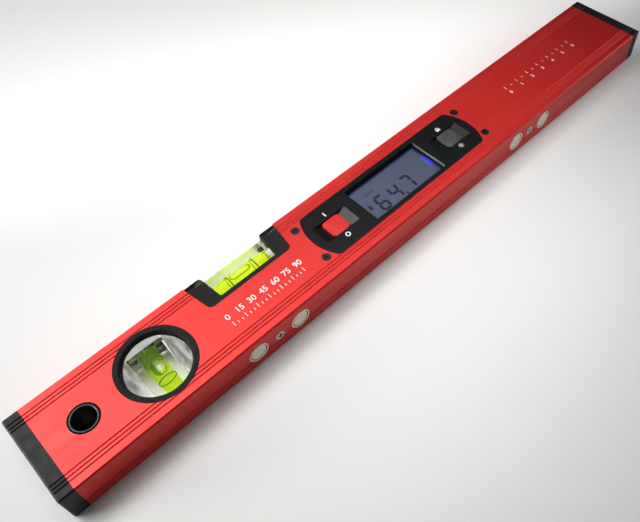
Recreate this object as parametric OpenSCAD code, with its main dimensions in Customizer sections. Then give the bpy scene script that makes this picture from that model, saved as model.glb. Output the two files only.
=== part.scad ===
// Digital level with a plumb vial, a top-edge vial, a tilt display and edge magnets.
// It lies on its back: X runs along the length, Y from the measuring edge to the vial edge,
// and Z from the back face up to the display face. All sizes are in millimetres.

/* [Body] */
// Length over both end caps
body_l = 400; // [380:1:480]
// Height from the measuring edge to the vial edge
body_h = 46; // [45:0.5:54]
// Depth from the back face to the display face
body_d = 19; // [18.8:0.1:22]
// Wall of the front and back faces
face_wall = 1.6; // [1.5:0.05:1.8]
// Wall of the measuring edge and the vial edge
edge_wall = 2.4; // [2:0.1:2.8]
// Chamfer along the four long edges
edge_chamfer = 0.7; // [0.3:0.1:1.2]
// Width of each fine groove along the faces
groove_w = 0.8; // [0.4:0.1:1.2]
// Depth of each fine groove
groove_depth = 0.4; // [0.2:0.05:0.6]
// Height of the innermost groove above the centre line
groove_first = 15.3; // [15.3:0.1:16.5]
// Step from one groove to the next
groove_step = 1.75; // [1.4:0.05:2.2]
// Height of the scribed line on the measuring edge above the back face
edge_line_z = 6.3; // [4.5:0.1:6.4]

/* [End caps] */
// Length of cap that shows at each end
cap_w = 7.3; // [5:0.1:10]
// Length of the plug inside the body
plug_l = 8; // [5:0.5:8.5]
// Wall of the plug
plug_wall = 1.6; // [1.2:0.1:2.5]
// Rounding of the outer corners of a cap
cap_round = 1.4; // [0.8:0.1:2.5]

/* [Hanging hole] */
// Distance of the hole from the left end
hang_from_end = 24.9; // [24:0.1:30]
// Radius of the hole
hang_r = 5.3; // [4:0.1:5.6]
// Wall of the bush
bush_wall = 0.9; // [0.6:0.1:1.4]
// Width of the lip round the bush
lip_w = 0.7; // [0.4:0.1:1.2]
// Thickness of the lip
lip_t = 0.7; // [0.4:0.1:0.9]

/* [Plumb vial] */
// Distance of the plumb vial from the left end
plumb_from_end = 59.8; // [56:0.1:62]
// Outer radius of the vial ring
ring_r = 18.5; // [17.8:0.1:19]
// Thickness of the ring's flange
ring_t = 0.8; // [0.5:0.1:1]
// Outer radius of the ring's sleeve
sleeve_r = 16.9; // [16.6:0.1:17.4]
// Radius of the ring's mouth at the face
mouth_r = 16.1; // [15.6:0.1:16.4]
// Radius of the ring's throat, below the dish and down through its sleeve
throat_r = 15.2; // [14.8:0.1:15.5]
// Depth of the ring's dish
dish_depth = 1.3; // [0.9:0.1:1.8]
// Thickness of the clear block's rim, between the two rings
web_t = 4.4; // [3:0.1:5]
// Thickness of the clear block at the tube
plumb_block_t = 14.6; // [14:0.1:16]
// Radius of the plumb vial's tube at its middle
plumb_tube_r = 4.3; // [3.5:0.1:4.5]
// Length of the plumb vial's tube
plumb_tube_l = 23; // [18:0.5:24]
// Length between the plumb vial's lines
plumb_lines = 11; // [8:0.5:13]

/* [Top vial] */
// Distance of the top vial's middle from the left end
holder_x = 116.4; // [114:0.1:116.6]
// Depth of the holder below the vial edge
holder_depth = 18.1; // [17:0.1:19]
// Width of the holder's bottom
holder_w = 48; // [44:0.5:49]
// Sideways taper of the holder, per unit of height
holder_taper = 0.16; // [0.05:0.01:0.18]
// Radius of the holder's bottom corners
holder_corner = 3; // [1.5:0.1:4]
// Thickness of the holder's floor
holder_floor = 2.4; // [1.6:0.1:3]
// Width of the holder's flange behind the walls
holder_flange = 1.2; // [0.8:0.1:1.8]
// Width of the opening's bottom
opening_w = 32.8; // [32:0.1:36]
// Sideways taper of the opening, per unit of height
opening_taper = 0.09; // [0.04:0.01:0.12]
// Radius of the opening's bottom corners
opening_corner = 1.2; // [0.6:0.1:2]
// Height of the sloping tip of each ear
ear_tip = 4; // [2:0.1:5]
// Fall of the sloping tip towards the edge
ear_fall = 1.4; // [0.6:0.1:2]
// Distance of the clear block's top below the vial edge
block_below = 2.4; // [1.5:0.1:3]
// Distance of the clear block's faces below the body's faces
block_inset = 2.5; // [2:0.1:3.2]
// Radius of the top vial's tube at its middle
top_tube_r = 4.5; // [3.5:0.1:4.8]
// Length of the top vial's tube
top_tube_l = 30; // [24:0.5:30.5]
// Length between the top vial's lines
top_lines = 15; // [12:0.5:18]

/* [Display] */
// Distance of the display module's middle from the left end
module_x = 206.7; // [206.5:0.1:209]
// Length of the bezel over its arched ends
bezel_l = 114.7; // [114:0.1:115.5]
// Height of the bezel
bezel_h = 29.6; // [29.2:0.1:30]
// Radius of the bezel's arched ends
bezel_end_r = 26; // [22:0.5:40]
// Radius of the bezel's corners
bezel_corner = 3; // [1.5:0.1:4]
// Thickness of the flange behind the front wall
flange_t = 1.6; // [1.4:0.05:1.8]
// Width of the flange round the bezel
flange_w = 3.2; // [2.5:0.1:4]
// Length of the window opening at the face
window_l = 50.2; // [47:0.1:51]
// Height of the window opening at the face
window_h = 24.4; // [22:0.1:24.8]
// Slope of the opening's four sides, inwards over their depth
window_slope = 1.2; // [0.4:0.1:1.6]
// Depth of the clear window below the face
window_recess = 2.2; // [2:0.05:2.4]
// Thickness of the clear window
window_t = 0.5; // [0.3:0.05:0.6]
// Length of the display glass
lcd_l = 51.4; // [51.2:0.1:52.5]
// Height of the display glass
lcd_h = 26; // [25.2:0.1:26.2]
// Thickness of the display glass
lcd_t = 1.3; // [1:0.05:1.4]
// Thickness of the light guide
guide_t = 0.8; // [0.5:0.05:0.9]
// Thickness of the circuit board
board_t = 1; // [0.8:0.1:1.1]
// Length of the circuit board
board_l = 106; // [105:0.5:110]
// Height of the circuit board
board_h = 32; // [30.5:0.5:33]
// Distance of the module screws from the module's centre
screw_x = 58.5; // [58:0.1:59]
// Height of the module screws above the centre line
screw_y = 11.2; // [10.6:0.1:11.5]
// Radius of a module screw's head
screw_head_r = 2.3; // [2:0.1:2.4]
// Radius of a module screw's shank
screw_shank_r = 1.2; // [1:0.05:1.4]

/* [Rockers] */
// Distance of each rocker from the module's centre
rocker_x = 41.8; // [41.5:0.1:42.2]
// Length of a rocker along the body
rocker_l = 10.8; // [10:0.1:11]
// Width of a rocker across the body
rocker_w = 10.6; // [9.5:0.1:11.5]
// Room round a rocker in its well
rocker_gap = 0.4; // [0.35:0.05:0.5]
// Radius of a rocker's crown
crown_r = 26; // [20:0.5:60]
// Height of the trunnions below the display face
pivot_below = 2.8; // [2.7:0.05:2.9]
// Radius of a trunnion
trunnion_r = 0.75; // [0.6:0.05:0.8]
// Length of a trunnion
trunnion_l = 1.8; // [1.2:0.1:2.2]
// Distance of a rocker's underside below the display face
rocker_t = 3.5; // [3.3:0.05:3.6]
// Length of the trough round a rocker
trough_l = 21.2; // [19:0.1:21.4]
// Depth of the trough's sloping ends
trough_depth = 1.6; // [1:0.1:1.7]

/* [Battery compartment] */
// Length of a cell
cell_l = 44.5; // [43:0.1:44.6]
// Diameter of a cell
cell_d = 10.3; // [9.8:0.05:10.4]
// Room for a contact at each end of a cell
contact_room = 2.6; // [2.2:0.1:2.8]
// Length of the battery door
door_l = 62.2; // [62:0.1:64]
// Height of the battery door
door_h = 25; // [24:0.1:26]
// Thickness of the battery door
door_t = 1.3; // [1:0.05:1.35]
// Distance of the door below the back face
door_inset = 0.2; // [0.1:0.05:0.25]
// Wall of the tray round the door
tray_rim = 1.7; // [1.5:0.1:2.2]
// Height of the tray screws above the centre line
tray_screw_y = 8.5; // [7.5:0.1:9]

/* [Magnets] */
// Distance of the first magnet pair's middle from the left end
pair_x = 108.25; // [106:0.25:120]
// Distance between the middles of the two magnet pairs
pairs_apart = 183.5; // [182:0.5:230]
// Distance between the magnets of a pair
pair_pitch = 24.5; // [22:0.5:28]
// Outer radius of a magnet's steel cup
cup_r = 5.3; // [4.5:0.1:5.6]
// Wall of a magnet's steel cup
cup_wall = 0.8; // [0.5:0.1:1]
// Height of a magnet's steel cup
cup_t = 6; // [4:0.1:7]
// Height of the carrier above the measuring edge's wall
carrier_t = 7; // [6:0.1:8]

/* [Hidden] */
$fn = 48;
// Clearance between pieces that are fixed to each other
fit = 0.05;
// Clearance between a piece that swings and what it swings in
swing = 0.3;
// Radial clearance of a running pin in its bore
running = 0.05;
// Overshoot of a cutting shape past the face that it cuts
over = 1;
// Cross recess of a screw: its width, length and depth as shares of the head
cross_w = 0.28;
cross_l = 1.2;
cross_depth = 0.65;

half_h = body_h / 2;
mid_z = body_d / 2;
tube_l = body_l - 2 * cap_w;
cavity_h = body_h - 2 * edge_wall;
cavity_d = body_d - 2 * face_wall;
groove_count = 3;

hang_x = hang_from_end - body_l / 2;
bush_r = hang_r + bush_wall;
bush_lip_r = bush_r + lip_w;
lip_chamfer = bush_wall / 3;

plumb_x = plumb_from_end - body_l / 2;
sleeve_end = mid_z + web_t / 2 + fit;
plumb_core_w = 16.8;
plumb_facet_fall = 1.6;
plumb_notch = [4.2, 2];
plumb_notch_d = 4;
plumb_notch_at = [6.9, 9.6];
throat_room = 0.3;
barrel_r = 150;
line_w = 0.5;
line_t = 0.2;
bubble_share = 0.42;
bubble_room = 2.6;
bubble_break = 0.15;
plumb_bubble_y = 1;
plumb_fill_r = 0.6;
plug_inset = 0.6;
top_fill_r = 1.5;
top_fill_past = 0.2;
top_fill_from = 3.6;
top_plug_from = 4.05;
top_plug_inset = 0.1;
// Height at which a bubble lies against the upper side of its tube
function bubble_rise(tube_r) = tube_r * (1 - bubble_share) + bubble_break;

holder_mid = holder_x - body_l / 2;
holder_bottom = half_h - holder_depth;
opening_bottom = holder_bottom + holder_floor;
block_top = half_h - block_below;
block_z = [block_inset, body_d - block_inset];
top_tube_y = (opening_bottom + block_top) / 2;

module_mid = module_x - body_l / 2;
flange_top = body_d - face_wall;
flange_z = flange_top - flange_t;
bezel_half = bezel_l / 2;
flange_past_screw = 4.5;
flange_l = 2 * (screw_x + flange_past_screw);
flange_h = bezel_h + 2 * flange_w;
window_z = body_d - window_recess;
lens_z = window_z - window_t;
lcd_z = lens_z - fit - lcd_t;
guide_z = lcd_z - fit - guide_t;
board_top = guide_z - fit;
board_z = board_top - board_t;
tray_top = board_z - fit;
strip_w = 1.8;
strip_end = 3;
strip_inset = 1.4;
strip_l = lcd_l - 2 * strip_end;
strip_y = lcd_h / 2 - strip_inset;
lamp_size = [2.4, 4, guide_t - 2 * fit];
lamp_inset = 0.5;
lamp_room = 1;
post_r = 2;
pilot_r = 0.8;
post_cap = 0.4;
post_inset = 3;
board_post = [board_l / 2 - post_inset, board_h / 2 - post_inset];
board_corner = 2;
board_hole_room = 0.35;
controller_size = [10, 10, 1.4];
sensor_size = [4, 4, 1];
module_head_t = face_wall - 4 * fit;
board_head_t = 0.7;

pivot_z = body_d - pivot_below;
rocker_z = body_d - rocker_t;
trough_w = rocker_w + 2 * rocker_gap;
well_l = rocker_l + 2 * rocker_gap;
saddle_wall = 0.55;
saddle_room = 1;
saddle_end = 1.6;
saddle_l = trunnion_l + saddle_end;
rocker_corner = 0.8;
mat_t = 0.4;
mat_inset = 1;
dome_taper = 0.6;
dome_y = 3.2;
dome_r = 1.3;
dome_gap = 0.4;

door_z = door_inset + door_t;
cell_play = 0.2;
cell_z = door_z + cell_play + cell_d / 2;
cell_y = cell_d / 2 + cell_play;
bay_l = cell_l + 2 * contact_room;
bay_h = 4 * cell_y + cell_play;
tray_ceiling = 0.6;
tray_wall = 1.1;
tray_ledge = 1.6;
recess_l = door_l + 2 * swing;
recess_h = door_h + 2 * swing;
tray_l = recess_l + 2 * tray_rim;
tray_h = recess_h + 2 * tray_rim;
tray_corner = 2.5;
knuckle_r = 1;
hinge_pin_r = 0.6;
hinge_pin_l = 1.1;
hinge_x = module_mid - door_l / 2 + knuckle_r;
knuckle_inset = 0.1;
knuckle_end = 1;
hinge_z = door_inset + knuckle_inset + knuckle_r;
tongue = [0.9, 7, 3];
tongue_inset = 0.6;
tongue_mid = (door_l - tongue[0]) / 2 - tongue_inset;
door_corner = 0.6;
nail_notch_r = 5;
nail_notch_depth = 1.1;
grip_count = 4;
grip_pitch = 1.7;
grip_l = 13;
grip_depth = 0.4;
grip_w = 0.9;
grip_inset = 5;
tray_screw_r = 0.9;
tray_head_r = 1.7;
tray_head_t = 1.1;
tray_screw_x = bay_l / 2 + tray_head_r + swing;
contact_t = 0.3;
contact_h = 8;
contact_margin = 1;
contact_pad = 3;
spring_wire_r = 0.2;
spring_base_r = 3.6;
spring_tip_r = 1.6;
spring_turns = 2.5;
spring_steps = 12;

pair_mids = [pair_x - body_l / 2, pair_x - body_l / 2 + pairs_apart];
carrier_side = 1.5;
carrier_end = 2;
carrier_w = 2 * (cup_r + carrier_side);
carrier_l = pair_pitch + 2 * (cup_r + carrier_end);
carrier_corner = 3;
magnet_t = cup_t - cup_wall;
edge_screw_head_r = 2.5;
edge_screw_head_t = 1.5;
edge_screw_r = 1.3;
edge_screw_end = 1;
edge_screw_l = edge_wall + carrier_t - edge_screw_end;

red_paint = "#d8202c";
black_plastic = "#2b2c2e";
clear_plastic = [0.9, 0.95, 0.93, 0.35];
green_fluid = [0.82, 0.95, 0.12, 0.8];
bright_metal = "#c9c6bd";
dark_metal = "#3a3a3c";

// Shared shapes

// Extrudes a profile, drawn with Y to the right and Z up, along X
module along_x(l) {
  rotate([90, 0, 90]) linear_extrude(height = l, center = true) children();
}

module rounded_rect(l, h, r) {
  square([l - 2 * r, h], center = true);
  square([l, h - 2 * r], center = true);
  for (sx = [-1, 1], sy = [-1, 1])
    translate([sx * (l / 2 - r), sy * (h / 2 - r)]) circle(r);
}

module slab(l, h, r, z0, z1) {
  translate([0, 0, z0]) linear_extrude(z1 - z0) rounded_rect(l, h, r);
}

// Box given by its middle in X and Y and its two heights
module block(size, z0, z1) {
  translate([-size[0] / 2, -size[1] / 2, z0]) cube([size[0], size[1], z1 - z0]);
}

// Puts four children at the corners of a rectangle about the middle
module at_corners(x, y) {
  for (sx = [-1, 1], sy = [-1, 1]) translate([sx * x, sy * y, 0]) children();
}

// Tub outline with a flat bottom, sides that lean outwards and round or cut bottom corners, grown by e
module tub(w, taper, bottom, top, r, e = 0, round = true) {
  lean = sqrt(1 + taper * taper);
  y0 = bottom - e;
  w0 = w / 2 + e * (lean - taper);
  rr = r + e;
  cx = w0 + rr * taper - rr * lean;
  tangent = [cx + rr / lean, y0 + rr - rr * taper / lean];
  w1 = w0 + (top - y0) * taper;
  inner_y = round ? y0 + rr : y0;
  polygon([
    [-w1, top], [w1, top], tangent, [cx, inner_y], [cx - fit, y0],
    [fit - cx, y0], [-cx, inner_y], [-tangent[0], tangent[1]]
  ]);
  if (round) {
    translate([0, (y0 + inner_y) / 2]) square([2 * cx, rr], center = true);
    for (s = [-1, 1]) translate([s * cx, inner_y]) circle(rr);
  }
}

// Bezel outline: a strip with arched ends and round corners, grown by e
module bezel_outline(e = 0) {
  h = bezel_h / 2 + e;
  end_r = bezel_end_r + e;
  corner = bezel_corner + e;
  end_x = bezel_half - bezel_end_r;
  corner_y = h - corner;
  corner_x = sqrt(pow(end_r - corner, 2) - pow(corner_y, 2));
  far = 2 * end_r;
  square([2 * (end_x + corner_x), 2 * h], center = true);
  for (s = [-1, 1]) {
    intersection() {
      translate([s * end_x, 0]) circle(end_r, $fn = 96);
      translate([s * end_x, 0])
        polygon([[0, 0], [s * far, far * corner_y / corner_x], [s * far, -far * corner_y / corner_x]]);
    }
    for (v = [-1, 1]) translate([s * (end_x + corner_x), v * corner_y]) circle(corner);
  }
}

// Outer cross-section of the body, with its grooves
module body_outline() {
  h = half_h;
  c = edge_chamfer;
  difference() {
    polygon([
      [-h + c, 0], [h - c, 0], [h, c], [h, body_d - c],
      [h - c, body_d], [-h + c, body_d], [-h, body_d - c], [-h, c]
    ]);
    for (s = [-1, 1], i = [0 : groove_count - 1]) translate([s * (groove_first + i * groove_step), 0]) {
      translate([0, body_d]) groove();
      mirror([0, 1]) groove();
    }
    translate([-h, edge_line_z]) rotate(90) groove();
  }
}

// One V-shaped groove, cut down from a face at height zero
module groove() {
  polygon([[-groove_w, groove_depth], [0, -groove_depth], [groove_w, groove_depth]]);
}

// Barrel-shaped space of a vial, along Z, grown by e
module barrel(r, l, e = 0) {
  rotate_extrude() intersection() {
    translate([r - barrel_r, 0]) circle(barrel_r + e, $fn = 720);
    translate([0, -l / 2 - e]) square([r + e, l + 2 * e]);
  }
}

// Bubble along Z: a rounded space that rides under the upper side of the tube
module bubble(tube_r, l) {
  r = tube_r * bubble_share;
  cylinder(r = r, h = l - 2 * r, center = true);
  for (s = [-1, 1]) translate([0, 0, s * (l / 2 - r)]) sphere(r);
}

// The two black line rings round a vial's tube, along Z, grown by e
module line_rings(tube_r, gap, e = 0) {
  r = tube_r - gap * gap / (8 * barrel_r) + fit - e;
  for (s = [-1, 1]) translate([0, 0, s * gap / 2])
    rotate_extrude() translate([r, -line_w / 2 - e]) square([line_t + 2 * e, line_w + 2 * e]);
}

module along_plumb_tube() {
  translate([plumb_x, 0, mid_z]) rotate([-90, 0, 0]) children();
}

module along_top_tube() {
  translate([holder_mid, top_tube_y, mid_z]) rotate([0, 90, 0]) children();
}
module along_top_fill() {
  fill_x = holder_mid + top_tube_l / 2 + top_fill_past;
  translate([fill_x, top_tube_y, mid_z]) rotate([-90, 0, 0]) children();
}

// Countersunk screw with a cross recess, its head flush with height zero, pointing down
module countersunk_screw(head_r, head_t, shank_r, l) {
  difference() {
    union() {
      translate([0, 0, -head_t]) cylinder(r1 = shank_r, r2 = head_r, h = head_t);
      translate([0, 0, -l]) cylinder(r = shank_r, h = l);
    }
    cross_recess(head_r, -head_t * cross_depth, over);
  }
}

module cross_recess(head_r, z0, z1) {
  for (a = [0, 90]) rotate(a) block([head_r * cross_l, head_r * cross_w], z0, z1);
}

module countersink(head_r, head_t, shank_r, l) {
  translate([0, 0, -head_t]) cylinder(r1 = shank_r + 2 * fit, r2 = head_r + 2 * fit, h = head_t);
  translate([0, 0, -l]) cylinder(r = shank_r + fit, h = l);
  translate([0, 0, -fit]) cylinder(r = head_r + 2 * fit, h = over);
}

// Body and ends

// Hollow extruded box, red, with openings for the vials, the display, the tray and the magnets
module body_extrusion() {
  color(red_paint) difference() {
    along_x(tube_l) body_outline();
    along_x(body_l) translate([0, mid_z]) square([cavity_h, cavity_d], center = true);
    stepped_hole(hang_x, bush_r, bush_lip_r, lip_t);
    stepped_hole(plumb_x, sleeve_r, ring_r, ring_t);
    holder_cut();
    translate([module_mid, 0, flange_top - over]) linear_extrude(face_wall + 2 * over) bezel_outline(fit);
    translate([module_mid, 0, body_d]) at_corners(screw_x, screw_y)
      countersink(screw_head_r, face_wall, screw_shank_r, face_wall + over);
    translate([module_mid, 0, 0])
      slab(tray_l + 2 * fit, tray_h + 2 * fit, tray_corner, -over, face_wall + over);
    at_magnets() translate([0, 0, -over]) cylinder(r = cup_r + fit, h = edge_wall + 2 * over);
    at_pairs() mirror([0, 0, 1])
      countersink(edge_screw_head_r, edge_screw_head_t, edge_screw_r, edge_wall + over);
  }
}

// Hole through both faces, with a shallow seat for a lip in each
module stepped_hole(x, r, lip_r, t) {
  translate([x, 0, -over]) cylinder(r = r + fit, h = body_d + 2 * over);
  for (z = [-over, body_d - t]) translate([x, 0, z]) cylinder(r = lip_r + fit, h = t + over);
}

// Cut for the top vial: the holder's outline in both faces, and the wider flange in the vial edge
module holder_cut() {
  translate([holder_mid, 0, -over]) linear_extrude(body_d + 2 * over)
    tub(holder_w, holder_taper, holder_bottom, half_h + over, holder_corner, fit);
  translate([holder_mid, 0, face_wall]) linear_extrude(cavity_d) holder_flange_outline(fit, half_h + over);
}

module holder_flange_outline(e, top) {
  tub(holder_w, holder_taper, holder_bottom, top, holder_corner, holder_flange + e);
}

// Places children at each magnet, with Z pointing into the body from the measuring edge
module at_magnets() {
  for (x = pair_mids, m = [-1, 1]) translate([x + m * pair_pitch / 2, -half_h, mid_z])
    rotate([-90, 0, 0]) children();
}

// Places children at the middle of each magnet pair, with Z pointing into the body
module at_pairs() {
  for (x = pair_mids) translate([x, -half_h, mid_z]) rotate([-90, 0, 0]) children();
}

// End cap: a flanged end with the body's own outline, and a hollow plug that presses into the body
module end_cap(side) {
  cap_x = side * (body_l - cap_w) / 2;
  plug_x = side * (tube_l - plug_l) / 2;
  color(black_plastic) {
    intersection() {
      translate([cap_x, 0, 0]) along_x(cap_w) body_outline();
      translate([cap_x - side * cap_w / 2, 0, -over])
        linear_extrude(body_d + 2 * over) rounded_rect(2 * cap_w, body_h, cap_round);
      translate([cap_x - side * cap_w / 2, half_h + over, mid_z])
        rotate([90, 0, 0]) linear_extrude(body_h + 2 * over) rounded_rect(2 * cap_w, body_d, cap_round);
    }
    difference() {
      translate([plug_x, 0, 0]) along_x(plug_l) translate([0, mid_z])
        square([cavity_h - 2 * fit, cavity_d - 2 * fit], center = true);
      translate([plug_x - side * plug_wall, 0, 0]) along_x(plug_l) translate([0, mid_z])
        square([cavity_h - 2 * plug_wall, cavity_d - 2 * plug_wall], center = true);
    }
  }
}

module end_cap_left() { end_cap(-1); }
module end_cap_right() { end_cap(1); }

// Half of the hanging-hole bush: a sleeve to mid-depth with a thin lip seated in the front face
module bush_half() {
  z_lip = body_d - lip_t;
  z_mid = mid_z + fit / 2;
  color(black_plastic) translate([hang_x, 0, 0]) rotate_extrude() polygon([
    [hang_r, z_mid], [bush_r, z_mid], [bush_r, z_lip], [bush_lip_r, z_lip],
    [bush_lip_r, body_d - lip_t / 3],
    [bush_lip_r - lip_t / 3, body_d], [hang_r + lip_chamfer, body_d], [hang_r, body_d - lip_chamfer]
  ]);
}

module hang_bush_front() { bush_half(); }
module hang_bush_rear() { to_back() bush_half(); }

// Turns a piece of the front face over to the back face
module to_back() {
  translate([0, 0, body_d]) mirror([0, 0, 1]) children();
}

// Plumb vial

// Dished ring: a flange in the face, a cone down to the throat, and a sleeve that clamps the clear block
module ring_half() {
  throat_z = body_d - dish_depth;
  color(black_plastic) translate([plumb_x, 0, 0]) rotate_extrude() polygon([
    [throat_r, throat_z], [mouth_r, body_d], [ring_r, body_d], [ring_r, body_d - ring_t],
    [sleeve_r, body_d - ring_t], [sleeve_r, sleeve_end], [throat_r, sleeve_end]
  ]);
}

module plumb_ring_front() { ring_half(); }
module plumb_ring_rear() { to_back() ring_half(); }

// Clear block: a round rim, rising over sloping facets to a thick core round the tube
module plumb_vial_block() {
  core = plumb_core_w / 2;
  top = plumb_block_t / 2;
  side = top - plumb_facet_fall;
  core_r = throat_r - throat_room;
  reach = core_r + over;
  color(clear_plastic) difference() {
    translate([plumb_x, 0, mid_z]) {
      cylinder(r = sleeve_r, h = web_t, center = true);
      intersection() {
        cylinder(r = core_r, h = plumb_block_t, center = true);
        rotate([90, 0, 0]) linear_extrude(2 * core_r, center = true) polygon([
          [-reach, -side], [-core, -top], [core, -top], [reach, -side],
          [reach, side], [core, top], [-core, top], [-reach, side]
        ]);
      }
    }
    along_plumb_tube() {
      barrel(plumb_tube_r, plumb_tube_l, fit);
      line_rings(plumb_tube_r, plumb_lines, fit);
      cylinder(r = plumb_fill_r + fit, h = sleeve_r + over);
    }
    for (s = [-1, 1]) translate([plumb_x + s * plumb_notch_at[0], plumb_notch_at[1], 0]) {
      block(plumb_notch, -over, mid_z - top + plumb_notch_d);
      block(plumb_notch, mid_z + top - plumb_notch_d, body_d);
    }
  }
}

module plumb_vial_fluid() {
  color(green_fluid) difference() {
    along_plumb_tube() barrel(plumb_tube_r, plumb_tube_l);
    translate([0, plumb_bubble_y, bubble_rise(plumb_tube_r)])
      along_plumb_tube() bubble(plumb_tube_r, plumb_lines - bubble_room);
  }
}

// Pin that seals the fill bore at the upper end of the tube
module plumb_vial_plug() {
  color(black_plastic) along_plumb_tube() translate([0, 0, plumb_tube_l / 2 + 2 * fit])
    cylinder(r = plumb_fill_r, h = sleeve_r - plumb_tube_l / 2 - plug_inset);
}

module plumb_vial_lines() {
  color("black") along_plumb_tube() line_rings(plumb_tube_r, plumb_lines);
}

// Top-edge vial

// U-shaped holder through the whole depth, with a flange behind the walls and sloping ear tips
module top_vial_holder() {
  tip_y = half_h - ear_tip;
  far = holder_w + 4 * holder_flange + 2 * holder_depth;
  color(black_plastic) translate([holder_mid, 0, 0]) difference() {
    union() {
      linear_extrude(body_d) tub(holder_w, holder_taper, holder_bottom, half_h, holder_corner);
      translate([0, 0, face_wall + fit]) linear_extrude(cavity_d - 2 * fit)
        holder_flange_outline(0, half_h);
    }
    translate([0, 0, -over]) linear_extrude(body_d + 2 * over)
      tub(opening_w, opening_taper, opening_bottom, half_h + over, opening_corner);
    for (z = [0, 1]) translate([0, 0, z * body_d]) mirror([0, 0, 1 - z])
      rotate([90, 0, 90]) linear_extrude(far, center = true)
        polygon([
          [tip_y, 0], [half_h + over, -ear_fall * (1 + over / ear_tip)],
          [half_h + over, over], [tip_y, over]
        ]);
  }
}

module top_vial_block() {
  color(clear_plastic) difference() {
    translate([holder_mid, 0, block_z[0]]) linear_extrude(block_z[1] - block_z[0])
      tub(opening_w, opening_taper, opening_bottom, block_top, opening_corner, -fit, false);
    along_top_tube() {
      barrel(top_tube_r, top_tube_l, fit);
      line_rings(top_tube_r, top_lines, fit);
    }
    along_top_fill() translate([0, 0, top_fill_from]) cylinder(r = top_fill_r + fit, h = half_h);
  }
}

// Plug that seals the fill bore over the right-hand end of the tube
module top_vial_plug() {
  plug_l = block_top - top_tube_y - top_plug_from - top_plug_inset;
  color(black_plastic) along_top_fill() translate([0, 0, top_plug_from]) cylinder(r = top_fill_r, h = plug_l);
}

module top_vial_fluid() {
  color(green_fluid) difference() {
    along_top_tube() barrel(top_tube_r, top_tube_l);
    translate([0, 0, bubble_rise(top_tube_r)]) along_top_tube() bubble(top_tube_r, top_lines - bubble_room);
  }
}

module top_vial_lines() {
  color("black") along_top_tube() line_rings(top_tube_r, top_lines);
}

// Display module

// Puts a piece at the middle of the display module
module in_module() {
  translate([module_mid, 0, 0]) children();
}

// Puts a piece at each rocker
module at_rockers() {
  for (s = [-1, 1]) translate([s * rocker_x, 0, 0]) children();
}

// Bezel: its face shows through the front wall, its flange lies behind it, and its posts carry the board
module display_bezel() {
  saddle_z = pivot_z - trunnion_r - running - saddle_wall;
  color(black_plastic) in_module() difference() {
    union() {
      translate([0, 0, flange_z]) linear_extrude(body_d - flange_z) bezel_outline();
      slab(flange_l, flange_h, bezel_corner, flange_z, flange_top);
      at_corners(board_post[0], board_post[1]) post(post_r, board_top);
      at_corners(tray_screw_x, tray_screw_y) post(post_r, board_top);
      at_rockers() for (s = [-1, 1]) translate([s * (well_l + saddle_l) / 2, 0, 0])
        block([saddle_l, 4 * trunnion_r + saddle_room], saddle_z, flange_z);
    }
    window_cut();
    at_rockers() {
      trough_cut();
      block([well_l, trough_w], saddle_z - over, body_d);
      translate([0, 0, pivot_z]) rotate([0, 90, 0])
        cylinder(r = trunnion_r + running, h = rocker_l + 2 * trunnion_l + 2 * rocker_gap, center = true);
    }
    at_corners(board_post[0], board_post[1]) post_hole(pilot_r);
    at_corners(tray_screw_x, tray_screw_y) post_hole(tray_screw_r + fit);
    at_corners(screw_x, screw_y) translate([0, 0, flange_z - over])
      cylinder(r = screw_shank_r + fit, h = flange_t + 2 * over);
  }
}

// Post that hangs from the flange down to a height
module post(r, z0) {
  translate([0, 0, z0]) cylinder(r = r, h = flange_z - z0 + over / 2);
}

// Screw hole up a post and into the flange
module post_hole(r) {
  translate([0, 0, board_top - over]) cylinder(r = r, h = flange_top - board_top + over - post_cap);
}

// Opening with four sloping sides, above a pocket for the clear window and the glass
module window_cut() {
  intersection() {
    window_wedge(window_l, window_h);
    rotate(90) window_wedge(window_h, window_l);
  }
  block([lcd_l + 2 * fit, lcd_h + 2 * fit], flange_z - over, window_z);
}

// Wedge that slopes in towards the window along X, cut square across
module window_wedge(l, across) {
  rise = over * window_slope / window_recess;
  rotate([90, 0, 0]) linear_extrude(across + 4 * over, center = true) polygon([
    [-l / 2 + window_slope, window_z - fit], [l / 2 - window_slope, window_z - fit],
    [l / 2 + rise, body_d + over], [-l / 2 - rise, body_d + over]
  ]);
}

// Trough round a rocker, with a slope at each end
module trough_cut() {
  rise = over * (trough_l - well_l) / 2 / trough_depth;
  rotate([90, 0, 0]) linear_extrude(trough_w, center = true) polygon([
    [-well_l / 2, body_d - trough_depth], [well_l / 2, body_d - trough_depth],
    [trough_l / 2 + rise, body_d + over], [-trough_l / 2 - rise, body_d + over]
  ]);
}

module display_window() {
  color(clear_plastic) in_module() block([lcd_l, lcd_h], lens_z, window_z - fit);
}

// Display glass: a lower plate with the contact ledge, and a narrower upper plate
module lcd_panel() {
  step_z = lcd_z + lcd_t / 2;
  color("#8a93a6") in_module() {
    block([lcd_l, lcd_h], lcd_z, step_z);
    block([lcd_l, lcd_h - 2 * strip_w], step_z, lcd_z + lcd_t);
  }
}

module light_guide() {
  l = lcd_l - 2 * (lamp_size[0] + lamp_room);
  color([0.75, 0.82, 0.95]) in_module()
    block([l, 2 * strip_y - strip_w - lamp_room], guide_z, guide_z + guide_t);
}

module backlight_lamp() {
  color("#3050ff") in_module() translate([(lcd_l - lamp_size[0]) / 2 - lamp_inset, 0, 0])
    block([lamp_size[0], lamp_size[1]], guide_z, guide_z + lamp_size[2]);
}

module contact_strips() {
  color("#d89ab0") in_module() for (s = [-1, 1]) translate([0, s * strip_y, 0])
    block([strip_l, strip_w], guide_z, guide_z + guide_t);
}

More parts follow.
